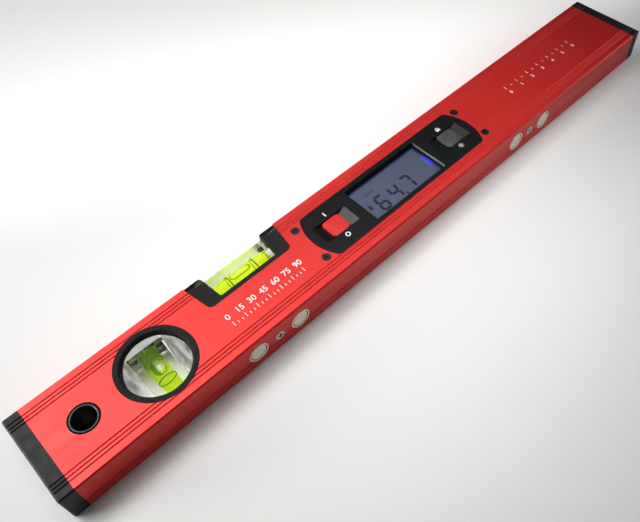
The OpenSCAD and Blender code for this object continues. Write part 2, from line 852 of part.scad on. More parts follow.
module circuit_board() {
  color("#1f6b3a") in_module() difference() {
    slab(board_l, board_h, board_corner, board_z, board_top);
    at_corners(board_post[0], board_post[1]) board_hole(pilot_r + board_hole_room);
    at_corners(tray_screw_x, tray_screw_y) board_hole(tray_screw_r + board_hole_room);
  }
}

module board_hole(r) {
  translate([0, 0, board_z - over]) cylinder(r = r, h = board_t + 2 * over);
}

// Chip soldered to the underside of the board, below a rocker
module chip(size, side) {
  color("#202124") in_module() translate([side * rocker_x, 0, 0])
    block(size, board_z - fit - size[2], board_z - fit);
}

module controller_chip() {
  chip(controller_size, -1);
}

module tilt_sensor() {
  chip(sensor_size, 1);
}

// Rocker: a crowned cap with a trunnion at each end
module rocker(side) {
  translate([module_mid + side * rocker_x, 0, 0]) {
    intersection() {
      slab(rocker_l, rocker_w, rocker_corner, rocker_z, body_d);
      translate([0, 0, body_d - crown_r]) rotate([0, 90, 0])
        cylinder(r = crown_r, h = rocker_l + 2 * over, center = true, $fn = 96);
      translate([0, 0, body_d - crown_r]) rotate([90, 0, 0])
        cylinder(r = crown_r, h = rocker_w + 2 * over, center = true, $fn = 96);
    }
    translate([0, 0, pivot_z]) rotate([0, 90, 0])
      cylinder(r = trunnion_r, h = rocker_l + 2 * trunnion_l, center = true);
  }
}

module power_rocker() { color("#e02a30") rocker(-1); }
module light_rocker() { color("#5c5e60") rocker(1); }

// Rubber key mat: a thin base with a dome under each side of the rocker
module key_mat(side) {
  top = rocker_z - dome_gap;
  color("#77797c") translate([module_mid + side * rocker_x, 0, 0]) {
    block([rocker_l - 2 * mat_inset, rocker_w], board_top, board_top + mat_t);
    for (s = [-1, 1]) translate([0, s * dome_y, board_top + mat_t])
      cylinder(r1 = dome_r, r2 = dome_r * dome_taper, h = top - board_top - mat_t);
  }
}

module power_key_mat() { key_mat(-1); }
module light_key_mat() { key_mat(1); }

module module_screws() {
  color(dark_metal) in_module() translate([0, 0, body_d - fit]) at_corners(screw_x, screw_y)
    countersunk_screw(screw_head_r, module_head_t, screw_shank_r, face_wall + flange_t);
}

// Pan-head screws that hold the board to the bezel's posts, from below
module board_screws() {
  color(bright_metal) in_module() at_corners(board_post[0], board_post[1]) {
    translate([0, 0, board_z - fit - board_head_t]) cylinder(r = 2 * pilot_r, h = board_head_t);
    translate([0, 0, board_z - fit]) cylinder(r = pilot_r - fit, h = flange_z - board_z);
  }
}

// Battery compartment

// Tray: a rim set into the back wall, a recess for the door, and a bay for the two cells
module battery_tray() {
  ledge_z = door_z + tray_ledge;
  bay_top = tray_top - tray_ceiling;
  color(black_plastic) in_module() difference() {
    union() {
      slab(tray_l, tray_h, tray_corner, door_inset, ledge_z);
      block([bay_l + 2 * tray_wall, bay_h + 2 * tray_wall], ledge_z, tray_top);
      at_corners(tray_screw_x, tray_screw_y) translate([0, 0, ledge_z])
        cylinder(r = post_r, h = tray_top - ledge_z);
    }
    slab(recess_l, recess_h, door_corner + swing, -over, door_z + fit);
    block([bay_l, bay_h], door_z, bay_top);
    translate([hinge_x - module_mid, 0, hinge_z]) rotate([90, 0, 0]) {
      cylinder(r = knuckle_r + swing, h = recess_h, center = true);
      cylinder(r = hinge_pin_r + running, h = door_h + 2 * hinge_pin_l + 2 * swing, center = true);
    }
    translate([recess_l / 2 + nail_notch_depth - nail_notch_r, 0, -over])
      cylinder(r = nail_notch_r, h = door_z + fit + over);
    translate([tongue_mid, 0, 0])
      block([tongue[0] + 2 * swing, tongue[1] + 2 * swing], door_z - over, door_z + tongue[2] + swing);
    at_corners(tray_screw_x, tray_screw_y) {
      translate([0, 0, door_z - over]) cylinder(r = tray_screw_r + fit, h = tray_top);
      translate([0, 0, door_z]) cylinder(r = tray_head_r + fit, h = tray_head_t + 3 * fit);
    }
  }
}

module tray_screws() {
  head_z = door_z + 2 * fit;
  color(bright_metal) in_module() at_corners(tray_screw_x, tray_screw_y) translate([0, 0, head_z])
    difference() {
      union() {
        cylinder(r = tray_head_r, h = tray_head_t);
        cylinder(r = tray_screw_r, h = flange_z - head_z);
      }
      cross_recess(tray_head_r, -over, tray_head_t * cross_depth);
    }
}

// Door: a thin plate that swings on two pins at one end and closes with a tongue at the other
module battery_door() {
  end_x = door_l / 2;
  axis_x = hinge_x - module_mid;
  color(black_plastic) in_module() {
    difference() {
      translate([(end_x + axis_x) / 2, 0, 0]) slab(end_x - axis_x, door_h, door_corner, door_inset, door_z);
      for (i = [0 : grip_count - 1]) translate([end_x - grip_inset - i * grip_pitch, 0, door_inset])
        rotate([90, 0, 0]) linear_extrude(grip_l, center = true)
          polygon([[-grip_w, -grip_depth], [grip_w, -grip_depth], [0, grip_depth]]);
    }
    translate([axis_x, 0, hinge_z]) rotate([90, 0, 0]) {
      cylinder(r = knuckle_r, h = door_h - 2 * knuckle_end, center = true);
      cylinder(r = hinge_pin_r, h = door_h + 2 * hinge_pin_l, center = true);
    }
    translate([tongue_mid, 0, 0])
      block([tongue[0], tongue[1]], door_inset + door_t / 2, door_z + tongue[2]);
  }
}

// Cell with its positive nub, towards +X for a side of 1
module cell(side) {
  nub_r = 1.9;
  nub_l = 0.8;
  can_l = cell_l - nub_l;
  translate([module_mid, side * cell_y, cell_z]) rotate([0, side * 90, 0]) {
    translate([0, 0, -cell_l / 2]) cylinder(r = cell_d / 2, h = can_l);
    translate([0, 0, -cell_l / 2]) cylinder(r = nub_r, h = cell_l);
  }
}

module cell_one() { color("#31689b") cell(1); }
module cell_two() { color("#31689b") cell(-1); }

// Points along a conical coil spring on X, from its base to its tip
function coil_point(i, l, base_r, tip_r) =
  let (t = i / (spring_turns * spring_steps), a = 360 * i / spring_steps, r = base_r + (tip_r - base_r) * t)
  [spring_wire_r + (l - 2 * spring_wire_r) * t, r * cos(a), r * sin(a)];

// Conical coil spring along X, as one unbroken wire
module coil(l, base_r, tip_r) {
  sides = 6;
  count = spring_turns * spring_steps;
  rings = [for (i = [0 : count]) let (a = 360 * i / spring_steps) [for (j = [0 : sides - 1])
    let (b = 360 * j / sides)
    coil_point(i, l, base_r, tip_r) + spring_wire_r * [sin(b), cos(b) * cos(a), cos(b) * sin(a)]]];
  points = [for (ring = rings) each ring];
  walls = [for (i = [0 : count - 1], j = [0 : sides - 1])
    let (a = i * sides + j, b = i * sides + (j + 1) % sides)
    each [[a, a + sides, b], [b, a + sides, b + sides]]];
  start = [for (j = [1 : sides - 2]) [0, j, j + 1]];
  last = count * sides;
  end = [for (j = [1 : sides - 2]) [last, last + j + 1, last + j]];
  gaps = [for (i = [0 : count - spring_steps])
    norm(coil_point(i + spring_steps, l, base_r, tip_r) - coil_point(i, l, base_r, tip_r))
      - 2 * spring_wire_r];
  echo(spring_least_gap = min(gaps));
  polyhedron(points, concat(walls, start, end));
}

// The two contact springs, each against the flat end of its cell
module battery_springs() {
  l = contact_room - contact_t - 3 * fit;
  color(bright_metal) for (side = [-1, 1])
    translate([module_mid - side * (bay_l / 2 - contact_t - 2 * fit), side * cell_y, cell_z])
      mirror([side == 1 ? 0 : 1, 0, 0]) coil(l, spring_base_r, spring_tip_r);
}

// Contact plates against the end walls of the bay: one that bridges the cells, and one for each lead
module battery_contacts() {
  far = bay_l / 2 - contact_t / 2 - fit;
  pad_t = contact_room - contact_t - 2 * fit;
  color(bright_metal) in_module() translate([0, 0, cell_z]) {
    translate([far, 0, 0]) cube([contact_t, 4 * cell_y - 2 * contact_margin, contact_h], center = true);
    for (s = [-1, 1]) translate([-far, s * cell_y, 0])
      cube([contact_t, 2 * (cell_y - contact_margin), contact_h], center = true);
    for (s = [-1, 1]) translate([s * (far - contact_t / 2 - pad_t / 2), s * cell_y, 0])
      cube([pad_t, contact_pad, contact_pad], center = true);
  }
}

// Measuring edge

// Carrier: a moulded block behind the measuring edge that holds two magnets in round pockets
module magnet_carrier(pair) {
  color(black_plastic) difference() {
    translate([pair_mids[pair], -half_h, mid_z]) rotate([-90, 0, 0]) difference() {
      slab(carrier_l, carrier_w, carrier_corner, edge_wall + fit, edge_wall + carrier_t);
      cylinder(r = edge_screw_r + fit, h = 4 * carrier_t);
    }
    at_magnets() cylinder(r = cup_r + fit, h = cup_t + fit);
  }
}

module magnet_carrier_left() { magnet_carrier(0); }
module magnet_carrier_right() { magnet_carrier(1); }

module magnet_cups() {
  color(bright_metal) at_magnets() difference() {
    cylinder(r = cup_r, h = cup_t);
    translate([0, 0, -over]) cylinder(r = cup_r - cup_wall, h = magnet_t + over);
  }
}

module magnets() {
  color("#b9b3a6") at_magnets() translate([0, 0, fit])
    cylinder(r = cup_r - cup_wall - fit, h = magnet_t - 2 * fit);
}

module carrier_screws() {
  color(bright_metal) at_pairs() translate([0, 0, fit]) mirror([0, 0, 1])
    countersunk_screw(edge_screw_head_r, edge_screw_head_t, edge_screw_r, edge_screw_l);
}

body_extrusion();
end_cap_left();
end_cap_right();
hang_bush_front();
hang_bush_rear();
plumb_ring_front();
plumb_ring_rear();
plumb_vial_block();
plumb_vial_fluid();
plumb_vial_lines();
plumb_vial_plug();
top_vial_holder();
top_vial_block();
top_vial_fluid();
top_vial_lines();
top_vial_plug();
display_bezel();
display_window();
lcd_panel();
light_guide();
backlight_lamp();
contact_strips();
circuit_board();
controller_chip();
tilt_sensor();
power_rocker();
light_rocker();
power_key_mat();
light_key_mat();
module_screws();
board_screws();
battery_tray();
tray_screws();
battery_door();
cell_one();
cell_two();
battery_springs();
battery_contacts();
magnet_carrier_left();
magnet_carrier_right();
magnet_cups();
magnets();
carrier_screws();
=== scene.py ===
import math

import bpy
from mathutils import Matrix, Vector


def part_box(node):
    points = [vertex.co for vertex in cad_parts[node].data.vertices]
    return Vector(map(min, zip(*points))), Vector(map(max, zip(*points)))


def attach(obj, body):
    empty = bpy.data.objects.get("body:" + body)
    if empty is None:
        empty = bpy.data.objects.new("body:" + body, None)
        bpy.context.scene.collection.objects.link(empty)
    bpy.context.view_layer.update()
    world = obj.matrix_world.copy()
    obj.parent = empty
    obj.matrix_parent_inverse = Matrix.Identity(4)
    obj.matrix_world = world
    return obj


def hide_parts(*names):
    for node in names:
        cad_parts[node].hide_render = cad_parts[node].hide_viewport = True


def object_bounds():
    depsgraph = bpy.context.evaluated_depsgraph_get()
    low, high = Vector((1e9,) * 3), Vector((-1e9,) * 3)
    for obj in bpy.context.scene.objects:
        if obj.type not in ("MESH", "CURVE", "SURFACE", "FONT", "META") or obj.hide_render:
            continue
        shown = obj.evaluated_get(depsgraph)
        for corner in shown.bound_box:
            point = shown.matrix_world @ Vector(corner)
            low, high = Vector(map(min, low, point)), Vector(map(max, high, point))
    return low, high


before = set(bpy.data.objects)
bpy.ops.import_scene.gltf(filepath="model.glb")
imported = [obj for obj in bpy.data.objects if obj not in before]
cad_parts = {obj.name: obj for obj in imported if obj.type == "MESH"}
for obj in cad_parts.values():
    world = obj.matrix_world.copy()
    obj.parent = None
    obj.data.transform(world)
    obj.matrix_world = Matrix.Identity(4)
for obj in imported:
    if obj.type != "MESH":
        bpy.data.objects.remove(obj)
cad_low, cad_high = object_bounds()
mm = 0.001


# Body
# The extruded aluminium box that everything else is set into, with three fine grooves along each margin.
# It is bead blasted and dyed red. Its cut edges are broken by a fraction of a millimetre.
same_place = 0.002 * mm
same_plane = math.radians(0.1)
sharp_edge = math.radians(28)
noise_span = (0.3, 0.7)


def only(piece):
    bpy.ops.object.select_all(action="DESELECT")
    piece.select_set(True)
    bpy.context.view_layer.objects.active = piece


def merged_copy(node, name):
    """A copy of a CAD node that stands for it, with its corners merged and its flat faces made whole."""
    piece = bpy.data.objects.new(name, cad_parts[node].data.copy())
    bpy.context.scene.collection.objects.link(piece)
    piece.data.materials.clear()
    only(piece)
    bpy.ops.mesh.customdata_custom_splitnormals_clear()
    bpy.ops.object.mode_set(mode="EDIT")
    bpy.ops.mesh.select_mode(type="VERT")
    bpy.ops.mesh.select_all(action="SELECT")
    bpy.ops.mesh.remove_doubles(threshold=same_place)
    bpy.ops.mesh.dissolve_limited(angle_limit=same_plane)
    bpy.ops.object.mode_set(mode="OBJECT")
    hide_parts(node)
    return piece


def pick(piece, kind, wanted):
    """Goes into edit mode with just those corners (VERT) or faces (FACE) selected for which wanted holds."""
    only(piece)
    bpy.ops.object.mode_set(mode="EDIT")
    bpy.ops.mesh.select_mode(type=kind)
    bpy.ops.mesh.select_all(action="DESELECT")
    bpy.ops.object.mode_set(mode="OBJECT")
    for part in (piece.data.vertices if kind == "VERT" else piece.data.polygons):
        part.select = wanted(part)
    bpy.ops.object.mode_set(mode="EDIT")


def pick_corners(piece, wanted):
    pick(piece, "VERT", lambda corner: wanted(corner.co))


def move_corners(piece, wanted, way):
    """Moves the corners for which wanted(place) holds."""
    pick_corners(piece, wanted)
    bpy.ops.transform.translate(value=way)
    bpy.ops.object.mode_set(mode="OBJECT")


def scale_corners(piece, wanted, share, centre):
    """Draws the corners for which wanted(place) holds towards a centre, or away from it."""
    pick_corners(piece, wanted)
    bpy.ops.transform.resize(value=share, center_override=centre)
    bpy.ops.object.mode_set(mode="OBJECT")


def round_edges(piece, width, steps=2, smooth=50):
    """Rounds the sharp edges, and keeps the flat faces looking flat."""
    only(piece)
    edges = piece.modifiers.new("edges", "BEVEL")
    edges.width = width
    edges.segments = steps
    edges.limit_method = "ANGLE"
    edges.angle_limit = sharp_edge
    bpy.ops.object.modifier_apply(modifier="edges")
    bpy.ops.object.shade_smooth_by_angle(angle=math.radians(smooth))
    flat = piece.modifiers.new("flat", "WEIGHTED_NORMAL")
    flat.keep_sharp = True
    bpy.ops.object.modifier_apply(modifier="flat")


def connect(owner, node, sockets):
    """Sets each socket of a node to a value, or links it to another node's output."""
    for key, value in sockets.items():
        if isinstance(value, bpy.types.NodeSocket):
            owner.node_tree.links.new(value, node.inputs[key])
        else:
            node.inputs[key].default_value = value


def shader_of(material):
    return material.node_tree.nodes["Principled BSDF"]


def tune(material, sockets):
    connect(material, shader_of(material), sockets)


def finish(name, colour, roughness, metal=0.0, gloss=0.5):
    material = bpy.data.materials.new(name)
    material.use_nodes = True
    tune(material, {"Base Color": (*colour, 1), "Roughness": roughness, "Metallic": metal,
                    "Specular IOR Level": gloss})
    return material


def add(owner, kind, sockets, **settings):
    """A node of that kind, with its settings and its sockets."""
    made = owner.node_tree.nodes.new(kind)
    for key, value in settings.items():
        setattr(made, key, value)
    connect(owner, made, sockets)
    return made


def ramp(owner, value, start, end, low=0.0, high=1.0, ease="LINEAR"):
    """Goes from low to high while the value goes from start to end, and stays there."""
    made = add(owner, "ShaderNodeMapRange", {
        "Value": value, "From Min": start, "From Max": end, "To Min": low, "To Max": high},
        interpolation_type=ease)
    return made.outputs["Result"]


def between(material, share, first, second):
    """The colour that lies that share of the way from the first to the second."""
    made = add(material, "ShaderNodeMix", {"Factor": share, "A": first, "B": second}, data_type="RGBA")
    return made.outputs["Result"]


def place_on(material, stretch=(1, 1, 1), centre=(0, 0, 0)):
    """Object coordinates, measured from a centre and stretched."""
    coordinates = add(material, "ShaderNodeTexCoord", {})
    moved = [-c * s for c, s in zip(centre, stretch)]
    mapping = add(material, "ShaderNodeMapping",
                  {"Vector": coordinates.outputs["Object"], "Location": moved, "Scale": stretch})
    return mapping.outputs["Vector"]


def noise(material, scale, stretch=(1, 1, 1), detail=3.0):
    texture = add(material, "ShaderNodeTexNoise",
                  {"Vector": place_on(material, stretch), "Scale": scale, "Detail": detail})
    return texture.outputs["Fac"]


def mottle(material, scale, dark, light):
    """The surface's colour, wandering between two shades."""
    level = ramp(material, noise(material, scale), *noise_span)
    tune(material, {"Base Color": between(material, level, (*dark, 1), (*light, 1))})


def sheen_spread(material, scale, low, high, stretch=(1, 1, 1)):
    """The surface's roughness, wandering between two values."""
    level = ramp(material, noise(material, scale, stretch), *noise_span, low, high)
    tune(material, {"Roughness": level})


def grain(material, scale, depth, stretch=(1, 1, 1), below=None):
    """A fine relief of that depth. Another relief may lie below it."""
    sockets = {"Height": noise(material, scale, stretch), "Distance": depth, "Strength": 1.0}
    if below is not None:
        sockets["Normal"] = below
    bump = add(material, "ShaderNodeBump", sockets)
    tune(material, {"Normal": bump.outputs["Normal"]})
    return bump.outputs["Normal"]


red_aluminium = finish("red_aluminium", (0.62, 0.021, 0.022), 0.4, metal=0.4, gloss=0.42)
tune(red_aluminium, {"Specular Tint": (1, 0.96, 0.84, 1), "Coat Weight": 0.04, "Coat Roughness": 0.35})
mottle(red_aluminium, 2600, (0.56, 0.019, 0.016), (0.68, 0.028, 0.025))
sheen_spread(red_aluminium, 160, 0.36, 0.46, (0.15, 1, 1))
die_lines = grain(red_aluminium, 900, 0.003 * mm, (0.004, 1, 1))
grain(red_aluminium, 4200, 0.006 * mm, below=die_lines)

# Ink on the face stands a little proud of it, so the face lies that much under the rims that are set into it.
ink_stands = 0.03 * mm
groove_z = cad_high.z - 0.4 * mm
groove_rise = 0.13 * mm


def on_face(place):
    return place.z > cad_high.z - 0.01 * mm


body = merged_copy("body_extrusion", "body_shell")
move_corners(body, on_face, (0, 0, -ink_stands))
# The drawn grooves come out of the die a little shallower and rounder than they are drawn.
move_corners(body, lambda place: abs(place.z - groove_z) < 0.02 * mm, (0, 0, groove_rise))
round_edges(body, 0.15 * mm)
body.data.materials.append(red_aluminium)
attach(body, "level")


# End caps
# Moulded plastic ends that press into the extrusion and carry its outline on.
# They are a dark grey, fine-grained plastic with softly rounded outer edges.
black_plastic = finish("black_plastic", (0.012, 0.013, 0.012), 0.5, gloss=0.2)
mottle(black_plastic, 700, (0.009, 0.01, 0.009), (0.016, 0.017, 0.015))
sheen_spread(black_plastic, 260, 0.44, 0.58)
grain(black_plastic, 2600, 0.012 * mm)

for node in ("end_cap_left", "end_cap_right"):
    cap = merged_copy(node, node + "_moulded")
    round_edges(cap, 0.3 * mm, 3)
    cap.data.materials.append(black_plastic)
    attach(cap, "level")


# Hanging hole
# Two flanged plastic bushes, one from each face, line the hole that the level hangs by.
# Each is turned about the hole's axis and presses into its seat.
def middle_of(node):
    low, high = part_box(node)
    return (low + high) / 2


def size_of(node):
    low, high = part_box(node)
    return high - low


def turned(name, profile, count=96):
    """A ring about Z: a circle at the first point of the profile, drawn out to each next one."""
    radius, height = profile[0]
    bpy.ops.object.select_all(action="DESELECT")
    bpy.ops.mesh.primitive_circle_add(vertices=count, radius=radius, location=(0, 0, 0))
    piece = bpy.context.object
    piece.name = name
    bpy.ops.object.mode_set(mode="EDIT")
    bpy.ops.mesh.select_all(action="SELECT")
    bpy.ops.transform.translate(value=(0, 0, height))
    for next_radius, next_height in profile[1:] + profile[:1]:
        bpy.ops.mesh.extrude_edges_move(TRANSFORM_OT_translate={"value": (0, 0, next_height - height)})
        share = next_radius / radius
        bpy.ops.transform.resize(value=(share, share, 1), center_override=(0, 0, next_height))
        radius, height = next_radius, next_height
    bpy.ops.mesh.select_all(action="SELECT")
    bpy.ops.mesh.remove_doubles(threshold=same_place)
    bpy.ops.mesh.normals_make_consistent(inside=False)
    bpy.ops.object.mode_set(mode="OBJECT")
    return piece


def settle(piece, place, turn=(0, 0, 0)):
    """Moves a piece to its place and puts that place into its mesh."""
    only(piece)
    piece.location = place
    piece.rotation_euler = turn
    bpy.ops.object.transform_apply(location=True, rotation=True, scale=True)


def paint_picked(piece, material):
    """Gives the faces that are selected in edit mode another finish, and leaves it."""
    piece.data.materials.append(material)
    piece.active_material_index = len(piece.data.materials) - 1
    bpy.ops.object.material_slot_assign()
    bpy.ops.object.mode_set(mode="OBJECT")


def paint_faces(piece, material, wanted):
    """Gives the faces for which wanted(face) holds another finish."""
    pick(piece, "FACE", wanted)
    paint_picked(piece, material)


bush_plastic = finish("bush_plastic", (0.01, 0.01, 0.01), 0.42)
mottle(bush_plastic, 900, (0.007, 0.007, 0.007), (0.014, 0.014, 0.013))
sheen_spread(bush_plastic, 300, 0.36, 0.5)
grain(bush_plastic, 2400, 0.008 * mm)
lip_painted_shade = finish("lip_painted_shade", (0.006, 0.005, 0.005), 0.6, gloss=0.1)
mottle(lip_painted_shade, 900, (0.004, 0.004, 0.004), (0.009, 0.008, 0.008))

bush_x = middle_of("hang_bush_front").x
bush_half = size_of("hang_bush_front").z
front_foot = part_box("hang_bush_front")[0].z
lip_r = size_of("hang_bush_front").x / 2
sleeve_r = lip_r - 0.7 * mm
hole_r = sleeve_r - 0.9 * mm
under_lip = bush_half - 0.7 * mm
lip_top = bush_half - 0.05 * mm
for node, foot, turn in (("hang_bush_front", front_foot, 0), ("hang_bush_rear", bush_half, math.pi)):
    bush = turned(node + "_turned", [
        (hole_r, 0), (sleeve_r, 0), (sleeve_r, under_lip), (lip_r, under_lip), (lip_r, lip_top),
        (lip_r - 0.1 * mm, lip_top), (lip_r - 0.45 * mm, bush_half - 0.5 * mm),
        (sleeve_r, bush_half - 0.1 * mm), (sleeve_r - 0.2 * mm, bush_half),
        (hole_r + 0.3 * mm, bush_half), (hole_r, bush_half - 0.3 * mm)])
    settle(bush, (bush_x, 0, foot), (turn, 0, 0))
    round_edges(bush, 0.08 * mm)
    bush.data.materials.append(bush_plastic)
    # The lip, outside the sleeve, is painted a deeper black, as painted shade.
    paint_faces(bush, lip_painted_shade, lambda face: math.hypot(face.center.x - bush_x, face.center.y) > sleeve_r)
    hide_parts(node)
    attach(bush, "level")


# Plumb vial rings
# A dished black ring in each face frames the round window of the plumb vial.
# Flange, dish and sleeve are one moulding, and the two sleeves clamp the clear block between them.
matt_plastic = finish("matt_plastic", (0.018, 0.019, 0.018), 0.62, gloss=0.06)
mottle(matt_plastic, 700, (0.014, 0.015, 0.014), (0.022, 0.023, 0.021))
sheen_spread(matt_plastic, 260, 0.56, 0.68)
grain(matt_plastic, 2600, 0.012 * mm)

ring_x = middle_of("plumb_ring_front").x
ring_r = size_of("plumb_ring_front").x / 2
ring_h = size_of("plumb_ring_front").z
front_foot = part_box("plumb_ring_front")[0].z
sleeve_r = ring_r - 1.6 * mm
mouth_r = ring_r - 2.4 * mm
throat_r = ring_r - 3.3 * mm
under_flange = ring_h - 0.8 * mm
dish_foot = ring_h - 1.3 * mm
for node, foot, turn in (("plumb_ring_front", front_foot, 0), ("plumb_ring_rear", ring_h, math.pi)):
    ring = turned(node + "_dished", [
        (throat_r, dish_foot), (mouth_r, ring_h), (ring_r, ring_h), (ring_r, under_flange),
        (sleeve_r, under_flange), (sleeve_r, 0), (throat_r, 0)], 144)
    settle(ring, (ring_x, 0, foot), (turn, 0, 0))
    round_edges(ring, 0.2 * mm, 3)
    ring.data.materials.append(matt_plastic)
    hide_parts(node)
    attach(ring, "level")


# Plumb vial block
# A clear acrylic block, round at its rim and thick at its core, with sloping facets beside the tube.
# It is moulded in one piece, polished on its faces, and bored for the fluid.
bore_room = 0.45 * mm


def pass_light(material, share, colour=(1, 1, 1)):
    """Lets that share of the light straight through a surface, tinted by the colour."""
    clear = add(material, "ShaderNodeBsdfTransparent", {"Color": (*colour, 1)})
    mix = add(material, "ShaderNodeMixShader", {
        "Fac": share, 1: shader_of(material).outputs["BSDF"], 2: clear.outputs["BSDF"]})
    connect(material, material.node_tree.nodes["Material Output"], {"Surface": mix.outputs["Shader"]})


def shadow_ray(material):
    return add(material, "ShaderNodeLightPath", {}).outputs["Is Shadow Ray"]


def let_shade_through(material, colour):
    """Light reaches what lies behind the clear piece: shadow rays pass it, tinted by that colour."""
    pass_light(material, shadow_ray(material), colour)


def acrylic(name, dark, light, bend):
    """Clear moulded acrylic, between two faint tints, with the slight waves of a moulded face."""
    material = finish(name, light, 0.03)
    tune(material, {"Transmission Weight": 1.0, "IOR": bend, "Specular Tint": (0.2, 0.2, 0.2, 1)})
    mottle(material, 160, dark, light)
    grain(material, 90, 0.012 * mm)
    let_shade_through(material, light)
    return material


def without_bore(piece, middle, axis, radius, length):
    """Takes the bore's wall out of a clear block, since the fluid's skin shows there, and closes it."""
    def in_bore(place):
        off = place - middle
        down = off[axis]
        off[axis] = 0
        return off.length < radius + bore_room and abs(down) < length / 2 + bore_room

    pick_corners(piece, in_bore)
    bpy.ops.mesh.select_mode(type="FACE")
    bpy.ops.mesh.delete(type="FACE")
    bpy.ops.mesh.select_mode(type="EDGE")
    bpy.ops.mesh.select_all(action="DESELECT")
    bpy.ops.mesh.select_non_manifold(extend=False, use_wire=True, use_boundary=True, use_multi_face=False,
                                     use_non_contiguous=False, use_verts=False)
    bpy.ops.mesh.edge_face_add()
    bpy.ops.object.mode_set(mode="OBJECT")


def reckon(material, operation, *values):
    return add(material, "ShaderNodeMath", dict(enumerate(values)), operation=operation).outputs["Value"]


def parts_of(material, place):
    return add(material, "ShaderNodeSeparateXYZ", {"Vector": place}).outputs


def reach_of(material, place):
    return add(material, "ShaderNodeVectorMath", {0: place}, operation="LENGTH").outputs["Value"]


plumb_middle = middle_of("plumb_vial_fluid")
plumb_tube_r = size_of("plumb_vial_fluid").x / 2
plumb_tube_l = size_of("plumb_vial_fluid").y

# Beside the core the block's faces are left rough from the mould, with flow streaks.
core_half = 8.4 * mm
rim_r = 14.5 * mm
blur = 0.3 * mm
frosted = acrylic("part_frosted", (0.92, 0.93, 0.91), (0.97, 0.975, 0.96), 1.25)
off = parts_of(frosted, place_on(frosted, centre=plumb_middle))
on_facet = ramp(frosted, reckon(frosted, "ABSOLUTE", off["X"]), core_half, core_half + blur)
from_axis = reach_of(frosted, place_on(frosted, (1, 1, 0), plumb_middle))
rough = reckon(frosted, "MAXIMUM", on_facet, ramp(frosted, from_axis, rim_r, rim_r + blur))
flow = ramp(frosted, noise(frosted, 260, (1, 0.45, 1)), 0.35, 0.65, 0.4, 0.85)
# Along one ridge on the front a frosted, half opaque wedge is painted in as a highlight, wider towards the
# tube's upper end.
ridge_x = 7.6 * mm
ridge_lean = -0.1
highlight_growth = -0.035
ridge = reckon(frosted, "MULTIPLY_ADD", off["Y"], ridge_lean, off["X"])
from_ridge = reckon(frosted, "ABSOLUTE", reckon(frosted, "SUBTRACT", ridge, ridge_x))
wedge = reckon(frosted, "MULTIPLY_ADD", off["Y"], highlight_growth, from_ridge)
to_back = ramp(frosted, off["Z"], 0, 1 * mm, 5 * mm, 0)
painted_highlight = ramp(frosted, reckon(frosted, "ADD", wedge, to_back), 0.25 * mm, 0.1 * mm)
# Past the tube's upper end the block is half cloudy.
clouded_y = 10.6 * mm
cloudy = ramp(frosted, off["Y"], clouded_y, clouded_y + 2 * blur, 1.0, 0.5)
for socket, at_core, at_side, at_highlight in (
        ("Roughness", 0.02, 0.3, 0.4), ("Transmission Weight", cloudy, flow, 0.15)):
    frost = ramp(frosted, rough, 0, 1, at_core, at_side)
    tune(frosted, {socket: ramp(frosted, painted_highlight, 0, 1, frost, at_highlight)})
streak = ramp(frosted, noise(frosted, 330, (1, 0.35, 1), 5.0), 0.36, 0.6)
streak_tint = between(frosted, streak, (0.34, 0.34, 0.3, 1), (1, 1, 0.98, 1))
clear_tint = shader_of(frosted).inputs["Base Color"].links[0].from_socket
tune(frosted, {"Base Color": between(frosted, rough, clear_tint, streak_tint)})
plumb_block = merged_copy("plumb_vial_block", "plumb_block_clear")
without_bore(plumb_block, plumb_middle, 1, plumb_tube_r, plumb_tube_l)
round_edges(plumb_block, 0.06 * mm)
plumb_block.data.materials.append(frosted)

# The two small front pockets beside the tube's upper end are painted black on the wall next to the tube, as
# painted shade in them.
# The rim behind that end is painted a matt pale where it meets the ring, as a painted reflection.
pocket_x = (4.6 * mm, 9.2 * mm)
pocket_y = (8.4 * mm, 10.8 * mm)
far_wall_y = 13 * mm
faces_up = 0.7


def on_pocket_wall(face):
    beside = abs(face.center.x - plumb_middle.x)
    in_pocket = pocket_x[0] < beside < pocket_x[1] and pocket_y[0] < face.center.y < pocket_y[1]
    return in_pocket and face.normal.y > faces_up and face.center.z > plumb_middle.z


def on_far_wall(face):
    beside = abs(face.center.x - plumb_middle.x)
    return beside < core_half and face.center.y > far_wall_y and face.normal.y > faces_up


painted_shade_black = finish("painted_shade_black", (0.012, 0.012, 0.012), 0.6)
mottle(painted_shade_black, 1500, (0.008, 0.008, 0.008), (0.018, 0.018, 0.017))
paint_faces(plumb_block, painted_shade_black, on_pocket_wall)
rim_painted_reflection = finish("rim_painted_reflection", (0.85, 0.87, 0.68), 0.6)
mottle(rim_painted_reflection, 500, (0.72, 0.75, 0.52), (0.92, 0.93, 0.8))
paint_faces(plumb_block, rim_painted_reflection, on_far_wall)
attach(plumb_block, "level")


# Vial fluids
# Yellow-green spirit fills each barrel-shaped tube but for its bubble, which lies against its upper side.
# The fluid wets the bore of its block, so light bends only where it meets the bubble.
barrel_r = 150 * mm
bubble_t = 4.2 * mm


def spirit(name, colour):
    material = finish(name, colour, 0.0)
    tune(material, {"Transmission Weight": 0.93, "IOR": 1.0})
    let_shade_through(material, (0.85, 0.95, 0.4))
    return material


def filled_circle(corners, radius):
    bpy.ops.object.select_all(action="DESELECT")
    bpy.ops.mesh.primitive_circle_add(vertices=corners, radius=radius, fill_type="NGON")
    return bpy.context.object


